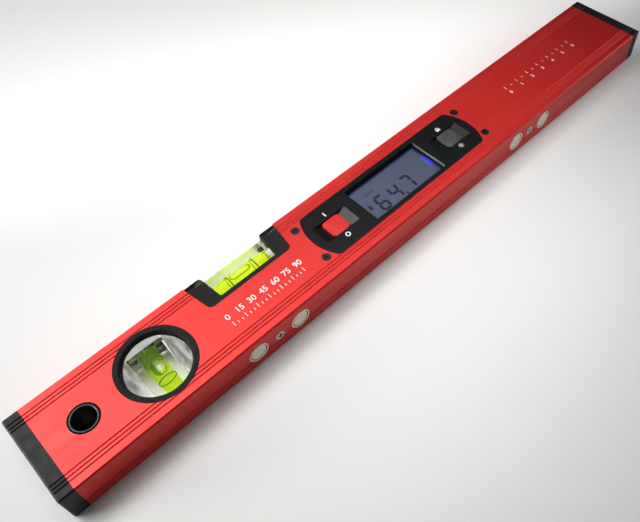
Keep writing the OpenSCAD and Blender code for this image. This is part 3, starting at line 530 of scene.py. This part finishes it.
def filled_barrel(name, radius, length, steps=16):
    """A barrel about Z: a filled circle at one end, drawn out in steps along the barrel's curve."""
    def radius_at(height):
        return radius - height * height / (2 * barrel_r)

    heights = [length * (i / steps - 0.5) for i in range(steps + 1)]
    piece = filled_circle(96, radius_at(heights[0]))
    piece.name = name
    bpy.ops.object.mode_set(mode="EDIT")
    bpy.ops.mesh.select_all(action="SELECT")
    bpy.ops.transform.translate(value=(0, 0, heights[0]))
    for last, here in zip(heights, heights[1:]):
        bpy.ops.mesh.extrude_region_move(TRANSFORM_OT_translate={"value": (0, 0, here - last)})
        share = radius_at(here) / radius_at(last)
        bpy.ops.transform.resize(value=(share, share, 1), center_override=(0, 0, here))
    bpy.ops.mesh.select_all(action="SELECT")
    bpy.ops.mesh.normals_make_consistent(inside=False)
    bpy.ops.object.mode_set(mode="OBJECT")
    return piece


def take_out_bubble(fluid, middle, length, width, roll, turn):
    """Cuts the bubble out: a flattened sphere, its halves drawn apart along Z, rolled, then turned."""
    bpy.ops.object.select_all(action="DESELECT")
    bpy.ops.mesh.primitive_uv_sphere_add(segments=64, ring_count=40, radius=width / 2)
    egg = bpy.context.object
    egg.data.materials.append(bubble_skin)
    for side in (-1, 1):
        half_way = side * (length - width) / 2
        move_corners(egg, lambda place: place.z * side > 0.01 * mm, (0, 0, half_way))
    egg.scale = (bubble_t / width, 1, 1)
    bpy.ops.object.transform_apply(scale=True)
    settle(egg, (0, 0, 0), (0, 0, roll))
    settle(egg, middle, turn)
    only(fluid)
    cut = fluid.modifiers.new("bubble", "BOOLEAN")
    cut.operation = "DIFFERENCE"
    cut.solver = "EXACT"
    cut.object = egg
    cut.material_mode = "TRANSFER"
    bpy.ops.object.modifier_apply(modifier="bubble")
    bpy.data.objects.remove(egg)
    bpy.ops.object.shade_smooth_by_angle(angle=math.radians(35))


vial_fluid = spirit("vial_fluid", (0.84, 0.98, 0.05))
# The spirit is given a faint glow, painted light that stands in for its fluorescence.
tune(vial_fluid, {"Emission Color": (0.72, 0.95, 0.02, 1), "Emission Strength": 0.09})
mottle(vial_fluid, 60, (0.8, 0.96, 0.04), (0.88, 0.99, 0.06))
# The plumb tube's upper end is painted a deeper green, as painted shade, since its light comes from below.
shaded_end_y = 11.5 * mm
shaded_fluid = spirit("shaded_fluid", (0.74, 0.96, 0.03))
along = parts_of(shaded_fluid, place_on(shaded_fluid))["Y"]
shade = ramp(shaded_fluid, along, 0, shaded_end_y, ease="SMOOTHSTEP")
greens = between(shaded_fluid, shade, (0.74, 0.96, 0.03, 1), (0.32, 0.64, 0.05, 1))
tune(shaded_fluid, {"Base Color": greens})

bubble_skin = finish("bubble_skin", (0.95, 0.99, 0.8), 0.02)
tune(bubble_skin, {"Transmission Weight": 0.75, "IOR": 1.36})
# The skin is painted pale where it faces the eye, as a painted highlight, and dark green towards its outline,
# as painted shade.
steep = add(bubble_skin, "ShaderNodeLayerWeight", {"Blend": 0.3}).outputs["Facing"]
painted_rim_shade = between(bubble_skin, steep, (0.96, 0.99, 0.88, 1), (0.1, 0.26, 0.02, 1))
# The side of the plumb bubble away from the lamp is painted a deep green crescent, as painted shade. The top
# bubble has none.
crescent_shade_x = (-0.2 * mm, -1.2 * mm)
left_of_plumb = -8 * mm
across = parts_of(bubble_skin, place_on(bubble_skin, centre=plumb_middle))["X"]
crescent_shade = ramp(bubble_skin, across, *crescent_shade_x)
on_plumb = reckon(bubble_skin, "GREATER_THAN", across, left_of_plumb)
painted_dark_side = reckon(bubble_skin, "MULTIPLY", crescent_shade, on_plumb)
tune(bubble_skin, {"Base Color": between(bubble_skin, painted_dark_side, painted_rim_shade, (0.1, 0.24, 0.02, 1))})
let_shade_through(bubble_skin, (0.95, 0.98, 0.7))

along_y = (-math.pi / 2, 0, 0)
plumb_fluid = filled_barrel("plumb_fluid", plumb_tube_r, plumb_tube_l)
plumb_fluid.data.materials.append(shaded_fluid)
settle(plumb_fluid, plumb_middle, along_y)
bubble_at = plumb_middle + Vector((0, 1.2 * mm, plumb_tube_r + 0.25 * mm - bubble_t / 2))
take_out_bubble(plumb_fluid, bubble_at, 9 * mm, 6 * mm, math.pi / 2, along_y)
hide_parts("plumb_vial_fluid")
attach(plumb_fluid, "level")

along_x = (0, math.pi / 2, 0)
top_middle = middle_of("top_vial_fluid")
top_tube_r = size_of("top_vial_fluid").y / 2
top_tube_l = size_of("top_vial_fluid").x
top_fluid = filled_barrel("top_fluid", top_tube_r, top_tube_l)
top_fluid.data.materials.append(vial_fluid)
settle(top_fluid, top_middle, along_x)
bubble_rise = (top_tube_r + 0.2 * mm - bubble_t / 2) * math.sqrt(0.5)
bubble_at = top_middle + Vector((-0.4 * mm, bubble_rise, bubble_rise))
take_out_bubble(top_fluid, bubble_at, 12 * mm, 5.6 * mm, -math.pi / 4, along_x)
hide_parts("top_vial_fluid")
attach(top_fluid, "level")


# Vial lines and fill plugs
# Two dark rings round each tube mark where the bubble belongs, and a pin seals each tube's fill bore.
# The rings are printed, one pin is black rubber, and the other is the green of the fluid that it shuts in,
# painted dark towards its outline as painted shade.
def dress(node, material):
    """Gives a CAD node that stays in view, or lies inside, its finish."""
    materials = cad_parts[node].data.materials
    materials.clear()
    materials.append(material)


line_black = finish("line_black", (0.006, 0.006, 0.006), 0.55)
mottle(line_black, 1500, (0.004, 0.004, 0.004), (0.01, 0.01, 0.01))
for node in ("top_vial_lines", "top_vial_plug"):
    dress(node, line_black)
line_olive = finish("line_olive", (0.05, 0.075, 0.008), 0.5)
mottle(line_olive, 1500, (0.04, 0.06, 0.006), (0.065, 0.095, 0.01))
dress("plumb_vial_lines", line_olive)
pin_green = finish("pin_green", (0.6, 0.72, 0.3), 0.25)
pin_outline_shade = add(pin_green, "ShaderNodeLayerWeight", {"Blend": 0.5}).outputs["Facing"]
tune(pin_green, {"Base Color": between(pin_green, pin_outline_shade, (0.72, 0.82, 0.42, 1), (0.01, 0.03, 0.005, 1))})
dress("plumb_vial_plug", pin_green)


# Top vial holder and block
# A black plastic saddle, let into the vial edge, with an ear at each side of the clear block that it holds.
# It is moulded in one piece through the whole depth, and the ears slope away at their tips.
saddle_half = 19 * mm
saddle_bevel = 1.3 * mm
holder_x = middle_of("top_vial_holder").x
holder = merged_copy("top_vial_holder", "top_holder_moulded")
pick_corners(
    holder, lambda place: place.y > cad_high.y - 0.05 * mm and abs(place.x - holder_x) < saddle_half)
bpy.ops.mesh.bevel(offset=saddle_bevel, segments=6, affect="EDGES")
bpy.ops.object.mode_set(mode="OBJECT")
round_edges(holder, 0.3 * mm, 3)
holder.data.materials.append(matt_plastic)
# The sloping tips of the ears are finely ribbed along the level and painted a lighter grey, as painted light,
# inside a thin crease that is painted black, as painted shade.
tip_y = 19.2 * mm
tip_slope = (0.8, 0.985)
crease = 0.2 * mm
ribbed_painted_light = finish("ribbed_painted_light", (0.045, 0.046, 0.044), 0.5, gloss=0.06)
mottle(ribbed_painted_light, 700, (0.036, 0.037, 0.035), (0.055, 0.056, 0.053))
grain(ribbed_painted_light, 1500, 0.03 * mm, (0.01, 1, 1))
paint_faces(holder, painted_shade_black,
            lambda face: tip_slope[0] < abs(face.normal.z) < tip_slope[1] and face.center.y > tip_y)
bpy.ops.object.mode_set(mode="EDIT")
bpy.ops.mesh.inset(thickness=crease, depth=0)
paint_picked(holder, ribbed_painted_light)
# Where the crease stands out over the vial edge it is pressed back to it.
scale_corners(holder, lambda place: place.y > cad_high.y, (1, 0, 1), (0, cad_high.y, 0))
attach(holder, "level")

# Seen through its whole width, the block has the faint green of thick acrylic. Its upper face is satin.
thick_tints = ((0.74, 0.78, 0.66), (0.8, 0.83, 0.72))
tinted_acrylic = acrylic("tinted_acrylic", *thick_tints, 1.3)
sheen_spread(tinted_acrylic, 120, 0.01, 0.05)
satin_acrylic = acrylic("satin_acrylic", *thick_tints, 1.3)
sheen_spread(satin_acrylic, 120, 0.3, 0.4)
top_block = merged_copy("top_vial_block", "top_block_clear")
without_bore(top_block, top_middle, 0, top_tube_r, top_tube_l)
round_edges(top_block, 0.06 * mm)
top_block.data.materials.append(tinted_acrylic)
paint_faces(top_block, satin_acrylic,
            lambda face: face.normal.y > faces_up and face.center.y > top_middle.y + top_tube_r)
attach(top_block, "level")


# Display bezel
# The black panel that frames the display and both rockers, with arched ends and sloping troughs.
# One plastic moulding: its face is a smooth satin, and it is screwed up against the front wall.
bezel_plastic = finish("bezel_plastic", (0.006, 0.0075, 0.008), 0.3, gloss=0.18)
mottle(bezel_plastic, 800, (0.006, 0.0072, 0.0077), (0.007, 0.0085, 0.009))
sheen_spread(bezel_plastic, 240, 0.29, 0.32)
grain(bezel_plastic, 2200, 0.004 * mm)
bezel = merged_copy("display_bezel", "bezel_moulded")
move_corners(bezel, on_face, (0, 0, -ink_stands))
round_edges(bezel, 0.12 * mm, smooth=14)
bezel.data.materials.append(bezel_plastic)
# Near the glass the window's sloping walls are painted blue-black up to half their height, as painted shade.
window_middle_x = 6.7 * mm
window_half_x = 23.9 * mm
window_half_y = 11 * mm
wall_spread = 1.4 * mm
wall_foot_z = cad_high.z - 2.6 * mm
painted_shade_top_z = cad_high.z - 1.1 * mm


def on_window_wall(place):
    in_x = abs(place.x - window_middle_x) < window_half_x + wall_spread
    return in_x and abs(place.y) < window_half_y + wall_spread and place.z > wall_foot_z


pick_corners(bezel, on_window_wall)
bpy.ops.mesh.select_mode(type="FACE")
bpy.ops.mesh.bisect(plane_co=(0, 0, painted_shade_top_z), plane_no=(0, 0, 1))
bpy.ops.object.mode_set(mode="OBJECT")
wall_painted_shade = finish("wall_painted_shade", (0.004, 0.004, 0.012), 0.6, gloss=0.04)
mottle(wall_painted_shade, 900, (0.003, 0.003, 0.009), (0.006, 0.006, 0.016))
paint_faces(bezel, wall_painted_shade, lambda face: on_window_wall(face.center) and face.center.z < painted_shade_top_z)
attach(bezel, "level")


# Display glass
# The liquid-crystal panel behind its clear window, blue-grey where it is idle, with a lamp at its right end.
# Its dark digits are in the glass itself, so they are thin shapes on the panel's upper face.
panel_low, panel_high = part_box("lcd_panel")
lcd_glass = finish("lcd_glass", (0.17, 0.2, 0.3), 0.3)
on_panel = parts_of(lcd_glass, place_on(lcd_glass))
fade = ramp(lcd_glass, on_panel["X"], panel_low.x, panel_high.x)
idle_tint = between(lcd_glass, fade, (0.115, 0.135, 0.23, 1), (0.1, 0.12, 0.19, 1))
# Next to the window's frame the panel is painted a dark blue, as the frame's painted shadow.
frame_shadow_width = 1.1 * mm
frame_shadow_right = reckon(lcd_glass, "GREATER_THAN", on_panel["X"], window_half_x + window_middle_x - frame_shadow_width)
frame_shadow_top = reckon(lcd_glass, "GREATER_THAN", on_panel["Y"], window_half_y - frame_shadow_width)
frame_shadow = reckon(lcd_glass, "MAXIMUM", frame_shadow_right, frame_shadow_top)
lamp_spot = (panel_high.x - 2.2 * mm, -1.6 * mm, panel_high.z)
glow_x = 3.4 * mm
glow_y = 7 * mm
from_lamp = reach_of(lcd_glass, place_on(lcd_glass, (1 / glow_x, 1 / glow_y, 0), lamp_spot))
tune(lcd_glass, {
    "Base Color": between(lcd_glass, frame_shadow, idle_tint, (0.035, 0.04, 0.16, 1)),
    "Emission Color": (0.01, 0.012, 0.9, 1),
    "Emission Strength": ramp(lcd_glass, from_lamp, 1.0, 0.0, ease="SMOOTHSTEP")})
dress("lcd_panel", lcd_glass)

window_clear = finish("window_clear", (0.02, 0.022, 0.028), 0.06)
tune(window_clear, {"Alpha": 0.1})
sheen_spread(window_clear, 90, 0.04, 0.09)
dress("display_window", window_clear)

lcd_ink = finish("lcd_ink", (0.004, 0.005, 0.04), 0.5)
mottle(lcd_ink, 1200, (0.003, 0.004, 0.03), (0.006, 0.007, 0.05))
lcd_faint = finish("lcd_faint", (0.07, 0.08, 0.14), 0.5)
mottle(lcd_faint, 1200, (0.06, 0.07, 0.12), (0.085, 0.095, 0.16))
ink_z = panel_high.z + 0.005 * mm
ink_t = 0.02 * mm
half_w = 2.3 * mm
half_h = 4.7 * mm
bar_w = 1.6 * mm
bar_gap = 0.35 * mm
lean = math.tan(math.radians(5))


def thicken(piece, depth):
    """Draws a flat piece out along Z."""
    only(piece)
    bpy.ops.object.mode_set(mode="EDIT")
    bpy.ops.mesh.select_all(action="SELECT")
    bpy.ops.mesh.extrude_region_move(TRANSFORM_OT_translate={"value": (0, 0, depth)})
    bpy.ops.mesh.select_all(action="SELECT")
    bpy.ops.mesh.normals_make_consistent(inside=False)
    bpy.ops.object.mode_set(mode="OBJECT")


def display_bar(middle, length, upright):
    """One bar of a digit, with pointed ends: a six-cornered circle, drawn out at both ends and thickened."""
    corner_r = bar_w / (2 * math.cos(math.pi / 6))
    bar = filled_circle(6, corner_r)
    settle(bar, (0, 0, 0), (0, 0, math.pi / 2))
    for side in (-1, 1):
        way = side * (length / 2 - corner_r)
        move_corners(bar, lambda place: place.x * side > 0.1 * mm, (way, 0, 0))
    thicken(bar, ink_t)
    turn = math.pi / 2 - math.atan(lean) if upright else 0
    settle(bar, (middle[0] + middle[1] * lean, middle[1], 0), (0, 0, turn))
    return bar


def joined(pieces, name, ink):
    bpy.ops.object.select_all(action="DESELECT")
    for piece in pieces:
        piece.select_set(True)
    bpy.context.view_layer.objects.active = pieces[0]
    bpy.ops.object.join()
    whole = bpy.context.object
    whole.name = name
    whole.data.materials.clear()
    whole.data.materials.append(ink)
    return whole


flat_l = 2 * half_w - bar_gap
tall_l = half_h - bar_gap
bars = {
    "top": ((0, half_h), flat_l, False),
    "middle": ((0, 0), flat_l, False),
    "bottom": ((0, -half_h), flat_l, False),
    "upper_left": ((-half_w, half_h / 2), tall_l, True),
    "upper_right": ((half_w, half_h / 2), tall_l, True),
    "lower_left": ((-half_w, -half_h / 2), tall_l, True),
    "lower_right": ((half_w, -half_h / 2), tall_l, True)}
six = ("top", "upper_left", "middle", "lower_left", "lower_right", "bottom")
four = ("upper_left", "upper_right", "middle", "lower_right")
seven = ("top", "upper_right", "lower_right")
digit_y = -4.9 * mm
arrow_r = 2.5 * mm
arrow_slim = (0.62, 1.15, 1)
shapes = []
for digit_x, lit in ((-7.6 * mm, six), (1.9 * mm, four), (11.2 * mm, seven)):
    for bar_name in lit:
        bar = display_bar(*bars[bar_name])
        settle(bar, (digit_x, digit_y, ink_z))
        shapes.append(bar)
point = display_bar((0, 0), bar_w * 1.05, False)
settle(point, (6.1 * mm, digit_y - half_h, ink_z))
shapes.append(point)
arrow = filled_circle(3, arrow_r)
thicken(arrow, ink_t)
arrow.scale = arrow_slim
settle(arrow, (-14.5 * mm, -3.3 * mm, ink_z))
shapes.append(arrow)
digits = joined(shapes, "lcd_digits", lcd_ink)
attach(digits, "level")

faint_x = -8.3 * mm
faint_y = 4.4 * mm
faint_gap = 1.9 * mm
faint_l = 2.4 * mm
marks = []
for step in (-1, 0, 1):
    bar = display_bar((0, 0), faint_l, True)
    settle(bar, (faint_x + step * faint_gap, faint_y, ink_z))
    marks.append(bar)
faint_mark = joined(marks, "lcd_faint_mark", lcd_faint)
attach(faint_mark, "level")


# Backlight and electronics
# Behind the glass lie its light guide, lamp and rubber contact strips, then the circuit board with its chips.
# None of it shows from outside. Each has the plain finish of its own material.
def inner(node, name, dark, light, roughness, metal=0.0, scale=500):
    material = finish(name, light, roughness, metal)
    mottle(material, scale, dark, light)
    grain(material, scale * 3, 0.004 * mm)
    dress(node, material)
    return material


inner("light_guide", "light_guide", (0.7, 0.78, 0.9), (0.82, 0.88, 0.96), 0.25)
lamp_blue = inner("backlight_lamp", "lamp_blue", (0.02, 0.03, 0.5), (0.03, 0.05, 0.8), 0.3)
tune(lamp_blue, {"Emission Color": (0.02, 0.03, 1, 1), "Emission Strength": 1.0})
inner("contact_strips", "contact_rubber", (0.5, 0.25, 0.33), (0.6, 0.32, 0.4), 0.7)
inner("circuit_board", "board_green", (0.008, 0.11, 0.035), (0.015, 0.17, 0.055), 0.4, scale=350)
chip_black = inner("controller_chip", "chip_black", (0.012, 0.012, 0.013), (0.022, 0.022, 0.024), 0.5)
dress("tilt_sensor", chip_black)
key_rubber = inner("power_key_mat", "key_rubber", (0.16, 0.16, 0.17), (0.22, 0.22, 0.23), 0.75)
dress("light_key_mat", key_rubber)


# Rockers
# Two small crowned keys, red for power and grey for the light, each on a pair of trunnions in the bezel.
# They are moulded in coloured plastic with softly rounded edges.
rocker_red = finish("rocker_red", (0.58, 0.026, 0.022), 0.45, gloss=0.2)
mottle(rocker_red, 420, (0.54, 0.022, 0.018), (0.63, 0.03, 0.025))
sheen_spread(rocker_red, 200, 0.4, 0.52)
grain(rocker_red, 1800, 0.006 * mm)
rocker_grey = finish("rocker_grey", (0.055, 0.058, 0.055), 0.42, gloss=0.3)
mottle(rocker_grey, 420, (0.046, 0.049, 0.046), (0.066, 0.069, 0.065))
sheen_spread(rocker_grey, 200, 0.36, 0.5)
grain(rocker_grey, 1800, 0.006 * mm)
drawn_r = 0.8 * mm
round_r = 1.9 * mm
opened = round_r / drawn_r
key_half_x = 5.4 * mm
key_half_y = 5.3 * mm
corner_room = 0.02 * mm
corner_x = key_half_x - drawn_r - corner_room
corner_y = key_half_y - drawn_r - corner_room
for node, material, slot in (("power_rocker", rocker_red, "rocker_red"),
                             ("light_rocker", rocker_grey, "rocker_grey")):
    rocker = merged_copy(node, node + "_key")
    key_x = middle_of(node).x
    # Each upright corner of the key is opened out to a rounder one.
    for side_x in (-1, 1):
        for side_y in (-1, 1):
            outermost = (key_x + side_x * key_half_x, side_y * key_half_y, 0)
            scale_corners(
                rocker, lambda place: (place.x - key_x) * side_x > corner_x and place.y * side_y > corner_y,
                (opened, opened, 1), outermost)
    round_edges(rocker, 0.6 * mm, 4)
    rocker.data.materials.append(material)
    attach(rocker, node)


# Printing on the bezel
# White marks beside each rocker say what its sides do: the plain on and off signs, a hold and a lamp sign.
# They are printed on the bezel's face in thin white ink.
white_ink = finish("white_ink", (0.78, 0.78, 0.76), 0.5)
mottle(white_ink, 1400, (0.7, 0.7, 0.68), (0.84, 0.84, 0.82))
print_t = ink_stands - 0.008 * mm
face_z = cad_high.z - ink_stands + 0.004 * mm


def stroke(middle, length, width, turn=0.0):
    """A straight printed stroke: a plane set to its length and width and thickened."""
    bpy.ops.object.select_all(action="DESELECT")
    bpy.ops.mesh.primitive_plane_add(size=1)
    bar = bpy.context.object
    bar.scale = (length, width, 1)
    bpy.ops.object.transform_apply(scale=True)
    thicken(bar, print_t)
    settle(bar, (*middle, face_z), (0, 0, turn))
    return bar


def printed_ring(middle, outer_r, inner_r):
    ring = turned("ring", [(inner_r, 0), (outer_r, 0), (outer_r, print_t), (inner_r, print_t)], 48)
    settle(ring, (*middle, face_z))
    return ring


def ink_on(pieces, name):
    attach(joined(pieces, name, white_ink), "level")


power_x = middle_of("power_rocker").x
light_x = middle_of("light_rocker").x
sign_y = 8.6 * mm
ray_r = 1.35 * mm
ink_on([stroke((power_x, sign_y), 0.7 * mm, 2.8 * mm),
        printed_ring((power_x, -sign_y), 1.4 * mm, 0.8 * mm)], "power_marks")
signs = [stroke((light_x, sign_y - 0.5 * mm), 2.6 * mm, 1.7 * mm),
         printed_ring((light_x, sign_y + 0.4 * mm), 0.95 * mm, 0.6 * mm),
         printed_ring((light_x, -sign_y), 0.8 * mm, 0.45 * mm)]
for ray in range(8):
    angle = ray * math.pi / 4
    ray_at = (light_x + ray_r * math.cos(angle), -sign_y + ray_r * math.sin(angle))
    signs.append(stroke(ray_at, 0.6 * mm, 0.3 * mm, angle))
ink_on(signs, "light_marks")


# Printing on the face
# A plain angle scale beside the top vial, and a short centimetre scale towards the right-hand end.
# Both are thin white ink on the red face, with plain figures.
capital_share = 0.7


def lettering(words, height, middle):
    """Words in plain print of that capital height, made a thin mesh about their middle."""
    bpy.ops.object.select_all(action="DESELECT")
    bpy.ops.object.text_add(location=(0, 0, 0))
    text = bpy.context.object
    text.data.body = words
    text.data.size = height / capital_share
    text.data.align_x = "CENTER"
    text.data.align_y = "CENTER"
    text.data.extrude = print_t / 2
    text.data.offset = 0.06 * mm
    bpy.ops.object.convert(target="MESH")
    settle(bpy.context.object, (*middle, face_z + print_t / 2))
    return bpy.context.object


def printed_scale(name, tick_xs, every, worth, foot_y, tall, short, tick_w, figure_y, figure_h):
    """A row of ticks along the level. Every so many, one is tall and has a figure."""
    marks = []
    for i, tick_x in enumerate(tick_xs):
        tick_h = tall if i % every == 0 else short
        marks.append(stroke((tick_x, foot_y + tick_h / 2), tick_w, tick_h))
        if i % every == 0:
            marks.append(lettering(str(i // every * worth), figure_h, (tick_x, figure_y)))
    ink_on(marks, name)


angle_left = -105 * mm
angle_right = -64 * mm
angle_steps = 18
angle_gap = (angle_right - angle_left) / angle_steps
angle_xs = [angle_left + angle_gap * i for i in range(angle_steps + 1)]
printed_scale("angle_scale", angle_xs, every=3, worth=15, foot_y=-10 * mm, tall=2.6 * mm, short=1.4 * mm,
              tick_w=0.32 * mm, figure_y=-4.2 * mm, figure_h=3.1 * mm)
ruler_left = 100.8 * mm
ruler_gap = 4.9 * mm
ruler_steps = 12
ruler_xs = [ruler_left + ruler_gap * i for i in range(ruler_steps + 1)]
printed_scale("centimetre_scale", ruler_xs, every=2, worth=1, foot_y=2 * mm, tall=2.2 * mm, short=1.3 * mm,
              tick_w=0.28 * mm, figure_y=-1.4 * mm, figure_h=2.2 * mm)


# Screws
# Black countersunk screws hold the display module. Bright ones hold the board, the tray and the magnet
# carriers. All are steel with a cross recess.
screw_black = finish("screw_black", (0.04, 0.04, 0.041), 0.3, metal=0.9)
mottle(screw_black, 900, (0.025, 0.025, 0.026), (0.06, 0.06, 0.061))
sheen_spread(screw_black, 500, 0.22, 0.4)
screw_bright = finish("screw_bright", (0.55, 0.54, 0.5), 0.28, metal=1.0)
mottle(screw_bright, 700, (0.48, 0.47, 0.43), (0.64, 0.63, 0.58))
sheen_spread(screw_bright, 500, 0.22, 0.38)
head_skin = 0.1 * mm
for node, steel, slot, sunk_shade in (
        ("module_screws", screw_black, "screw_black", lambda face: face.center.z < cad_high.z - head_skin),
        ("carrier_screws", screw_bright, "screw_bright", lambda face: face.center.y > cad_low.y + head_skin)):
    screws = merged_copy(node, node + "_turned")
    round_edges(screws, 0.12 * mm)
    screws.data.materials.append(steel)
    # The faces sunk below each head's top, its cross recess among them, are painted black, as painted shade.
    paint_faces(screws, painted_shade_black, sunk_shade)
    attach(screws, "level")
for node in ("board_screws", "tray_screws"):
    dress(node, screw_bright)


# Magnets
# Four disc magnets in steel cups, flush with the measuring edge, glued into carriers behind the wall.
# The cups are bright steel, the discs a duller nickel plate.
magnet_nickel = finish("magnet_nickel", (0.84, 0.78, 0.63), 0.4, metal=0.3)
mottle(magnet_nickel, 1300, (0.7, 0.65, 0.51), (0.98, 0.92, 0.76))
sheen_spread(magnet_nickel, 420, 0.3, 0.48)
grain(magnet_nickel, 900, 0.006 * mm)
discs = merged_copy("magnets", "magnet_discs")
# Each disc is drawn in from its cup, and the cup's inside is painted black, as painted shade in the ring
# between them.
magnet_xs = (-104 * mm, -79.5 * mm, 79.5 * mm, 104 * mm)
magnet_z = middle_of("magnets").z
disc_room = 6 * mm
drawn_in = 0.92
for magnet_x in magnet_xs:
    scale_corners(discs, lambda place: abs(place.x - magnet_x) < disc_room,
                  (drawn_in, 1, drawn_in), (magnet_x, cad_low.y, magnet_z))
round_edges(discs, 0.3 * mm, 3)
discs.data.materials.append(magnet_nickel)
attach(discs, "level")
cup_steel = finish("cup_steel", (0.97, 0.86, 0.74), 0.3, metal=0.2)
mottle(cup_steel, 600, (0.93, 0.82, 0.7), (0.99, 0.9, 0.79))
sheen_spread(cup_steel, 500, 0.22, 0.4)
cups = merged_copy("magnet_cups", "magnet_cups_drawn")
round_edges(cups, 0.2 * mm, 3)
cups.data.materials.append(cup_steel)
rim_t = 0.3 * mm
# The cup's faces inside its rim are painted black, as painted shade round the disc.
paint_faces(cups, painted_shade_black, lambda face: face.center.y > cad_low.y + rim_t)
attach(cups, "level")
for node in ("magnet_carrier_left", "magnet_carrier_right"):
    dress(node, black_plastic)


# Battery compartment
# A black tray in the back wall takes two cells between sprung contacts, under a hinged door.
# Tray and door are moulded like the end caps, and the contacts are plated steel.
door_side_y = 12.4 * mm
door_face_z = 0.25 * mm
door_draft = 0.988
for node, piece_body in (("battery_tray", "level"), ("battery_door", "battery_door")):
    moulding = merged_copy(node, node + "_moulded")
    if node == "battery_door":
        # Its sides lean in towards its outer face, so that they clear the tray's corners when it swings out.
        scale_corners(moulding, lambda place: abs(place.y) > door_side_y and place.z < door_face_z,
                      (1, door_draft, 1), (0, 0, 0))
    round_edges(moulding, 0.08 * mm)
    moulding.data.materials.append(black_plastic)
    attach(moulding, piece_body)
cell_jacket = inner("cell_one", "cell_jacket", (0.02, 0.1, 0.26), (0.03, 0.14, 0.34), 0.3)
dress("cell_two", cell_jacket)
contact_steel = inner("battery_springs", "contact_steel", (0.5, 0.5, 0.48), (0.62, 0.62, 0.6), 0.3,
                      metal=1.0)
dress("battery_contacts", contact_steel)


# Floor
# A wide pale floor that the level lies on, lit from within behind the level and far from it.
# Seen from below it is clear, and lets a lamp's light up through it, so that the back can be looked at.
floor_r = 4
behind_way = (0.4, 1, 0)
behind_from = 0.04
behind_to = 0.15
behind_strength = 0.45
far_from = 0.3
far_to = 0.8
far_strength = 0.55
floor = filled_circle(96, floor_r)
settle(floor, (0, 0, cad_low.z))
floor.name = "floor"
floor_white = finish("floor_white", (0.82, 0.82, 0.81), 0.8)
mottle(floor_white, 3, (0.8, 0.8, 0.79), (0.84, 0.84, 0.83))
behind = add(floor_white, "ShaderNodeVectorMath", {
    0: place_on(floor_white), 1: behind_way}, operation="DOT_PRODUCT").outputs["Value"]
near_glow = ramp(floor_white, behind, behind_from, behind_to, 0.0, behind_strength, "SMOOTHSTEP")
from_middle = reach_of(floor_white, place_on(floor_white))
far_glow = ramp(floor_white, from_middle, far_from, far_to, 0.0, far_strength, "SMOOTHSTEP")
tune(floor_white, {
    "Emission Color": (1, 1, 0.99, 1),
    "Emission Strength": reckon(floor_white, "MAXIMUM", near_glow, far_glow)})
from_below = add(floor_white, "ShaderNodeNewGeometry", {}).outputs["Backfacing"]
pass_light(floor_white, reckon(floor_white, "MAXIMUM", from_below, shadow_ray(floor_white)))
floor.data.materials.append(floor_white)


# Light
# Soft lamps with gridded fronts, high over the vial edge at the left, the middle and the right-hand half.
# Weak low lamps light the measuring edge and the vial edge, and one under the floor lights the back.
def soft_lamp(name, place, aim, size, power, beam=180):
    bpy.ops.object.select_all(action="DESELECT")
    bpy.ops.object.light_add(type="AREA", location=place)
    lamp = bpy.context.object
    lamp.name = name
    lamp.data.size = size
    lamp.data.energy = power
    lamp.data.spread = math.radians(beam)
    lamp.rotation_euler = (Vector(aim) - Vector(place)).to_track_quat("-Z", "Y").to_euler()


soft_lamp("key_lamp", (-0.27, 0.32, 0.58), (-0.13, 0, 0), 0.4, 0.36, 40)
soft_lamp("middle_lamp", (0, 0.12, 0.5), (-0.04, 0, 0), 0.3, 0.1, 50)
soft_lamp("right_lamp", (0.16, 0, 0.5), (0.05, 0, 0), 0.25, 0.09, 36)
soft_lamp("edge_lamp", (0.68, -0.34, 0.34), (0.1, 0, 0), 0.3, 0.8)
soft_lamp("left_lamp", (-0.62, 0.3, 0.1), (0.03, 0, 0.015), 0.2, 0.4, 60)
soft_lamp("back_lamp", (-0.45, 0.7, 0.16), (0, 0, 0), 0.5, 2)
soft_lamp("under_lamp", (0.12, 0.25, -0.42), (0.1, 0, 0), 0.25, 0.3, 42)
# The surround looks as pale as the floor, but gives only a faint light.
faint_light = 0.03
paleness = 0.7
surround = bpy.data.worlds.new("surround")
surround.use_nodes = True
looked_at = add(surround, "ShaderNodeLightPath", {}).outputs["Is Camera Ray"]
connect(surround, surround.node_tree.nodes["Background"], {
    "Color": (1, 1, 1, 1), "Strength": ramp(surround, looked_at, 0, 1, faint_light, paleness)})
bpy.context.scene.world = surround
bpy.context.scene.view_settings.view_transform = "Standard"


# Camera
# It looks down along the level from above its left-hand end, as the photograph does.
# The lens and shift are worked out from the picture's focal length and principal point in pixels.
picture_w = 640
picture_h = 522
focal_px = 686.2
principal_px = (371.0, 243.1)
eye = Vector((-167.0, -164.4, 281.0)) * mm
to_right = Vector((0.70849, -0.70542, -0.02069))
to_front = Vector((0.41321, 0.43842, -0.79815)).normalized()
up = to_right.cross(to_front).normalized()
right = to_front.cross(up)
bpy.ops.object.camera_add(location=eye)
camera = bpy.context.object
camera.name = "camera"
camera.matrix_world = Matrix((
    (right.x, up.x, -to_front.x, eye.x), (right.y, up.y, -to_front.y, eye.y),
    (right.z, up.z, -to_front.z, eye.z), (0, 0, 0, 1)))
camera.data.sensor_width = 36
camera.data.lens = focal_px * camera.data.sensor_width / picture_w
camera.data.shift_x = (picture_w / 2 - principal_px[0]) / picture_w
camera.data.shift_y = (principal_px[1] - picture_h / 2) / picture_w
camera.data.clip_start = 0.01
bpy.context.scene.camera = camera
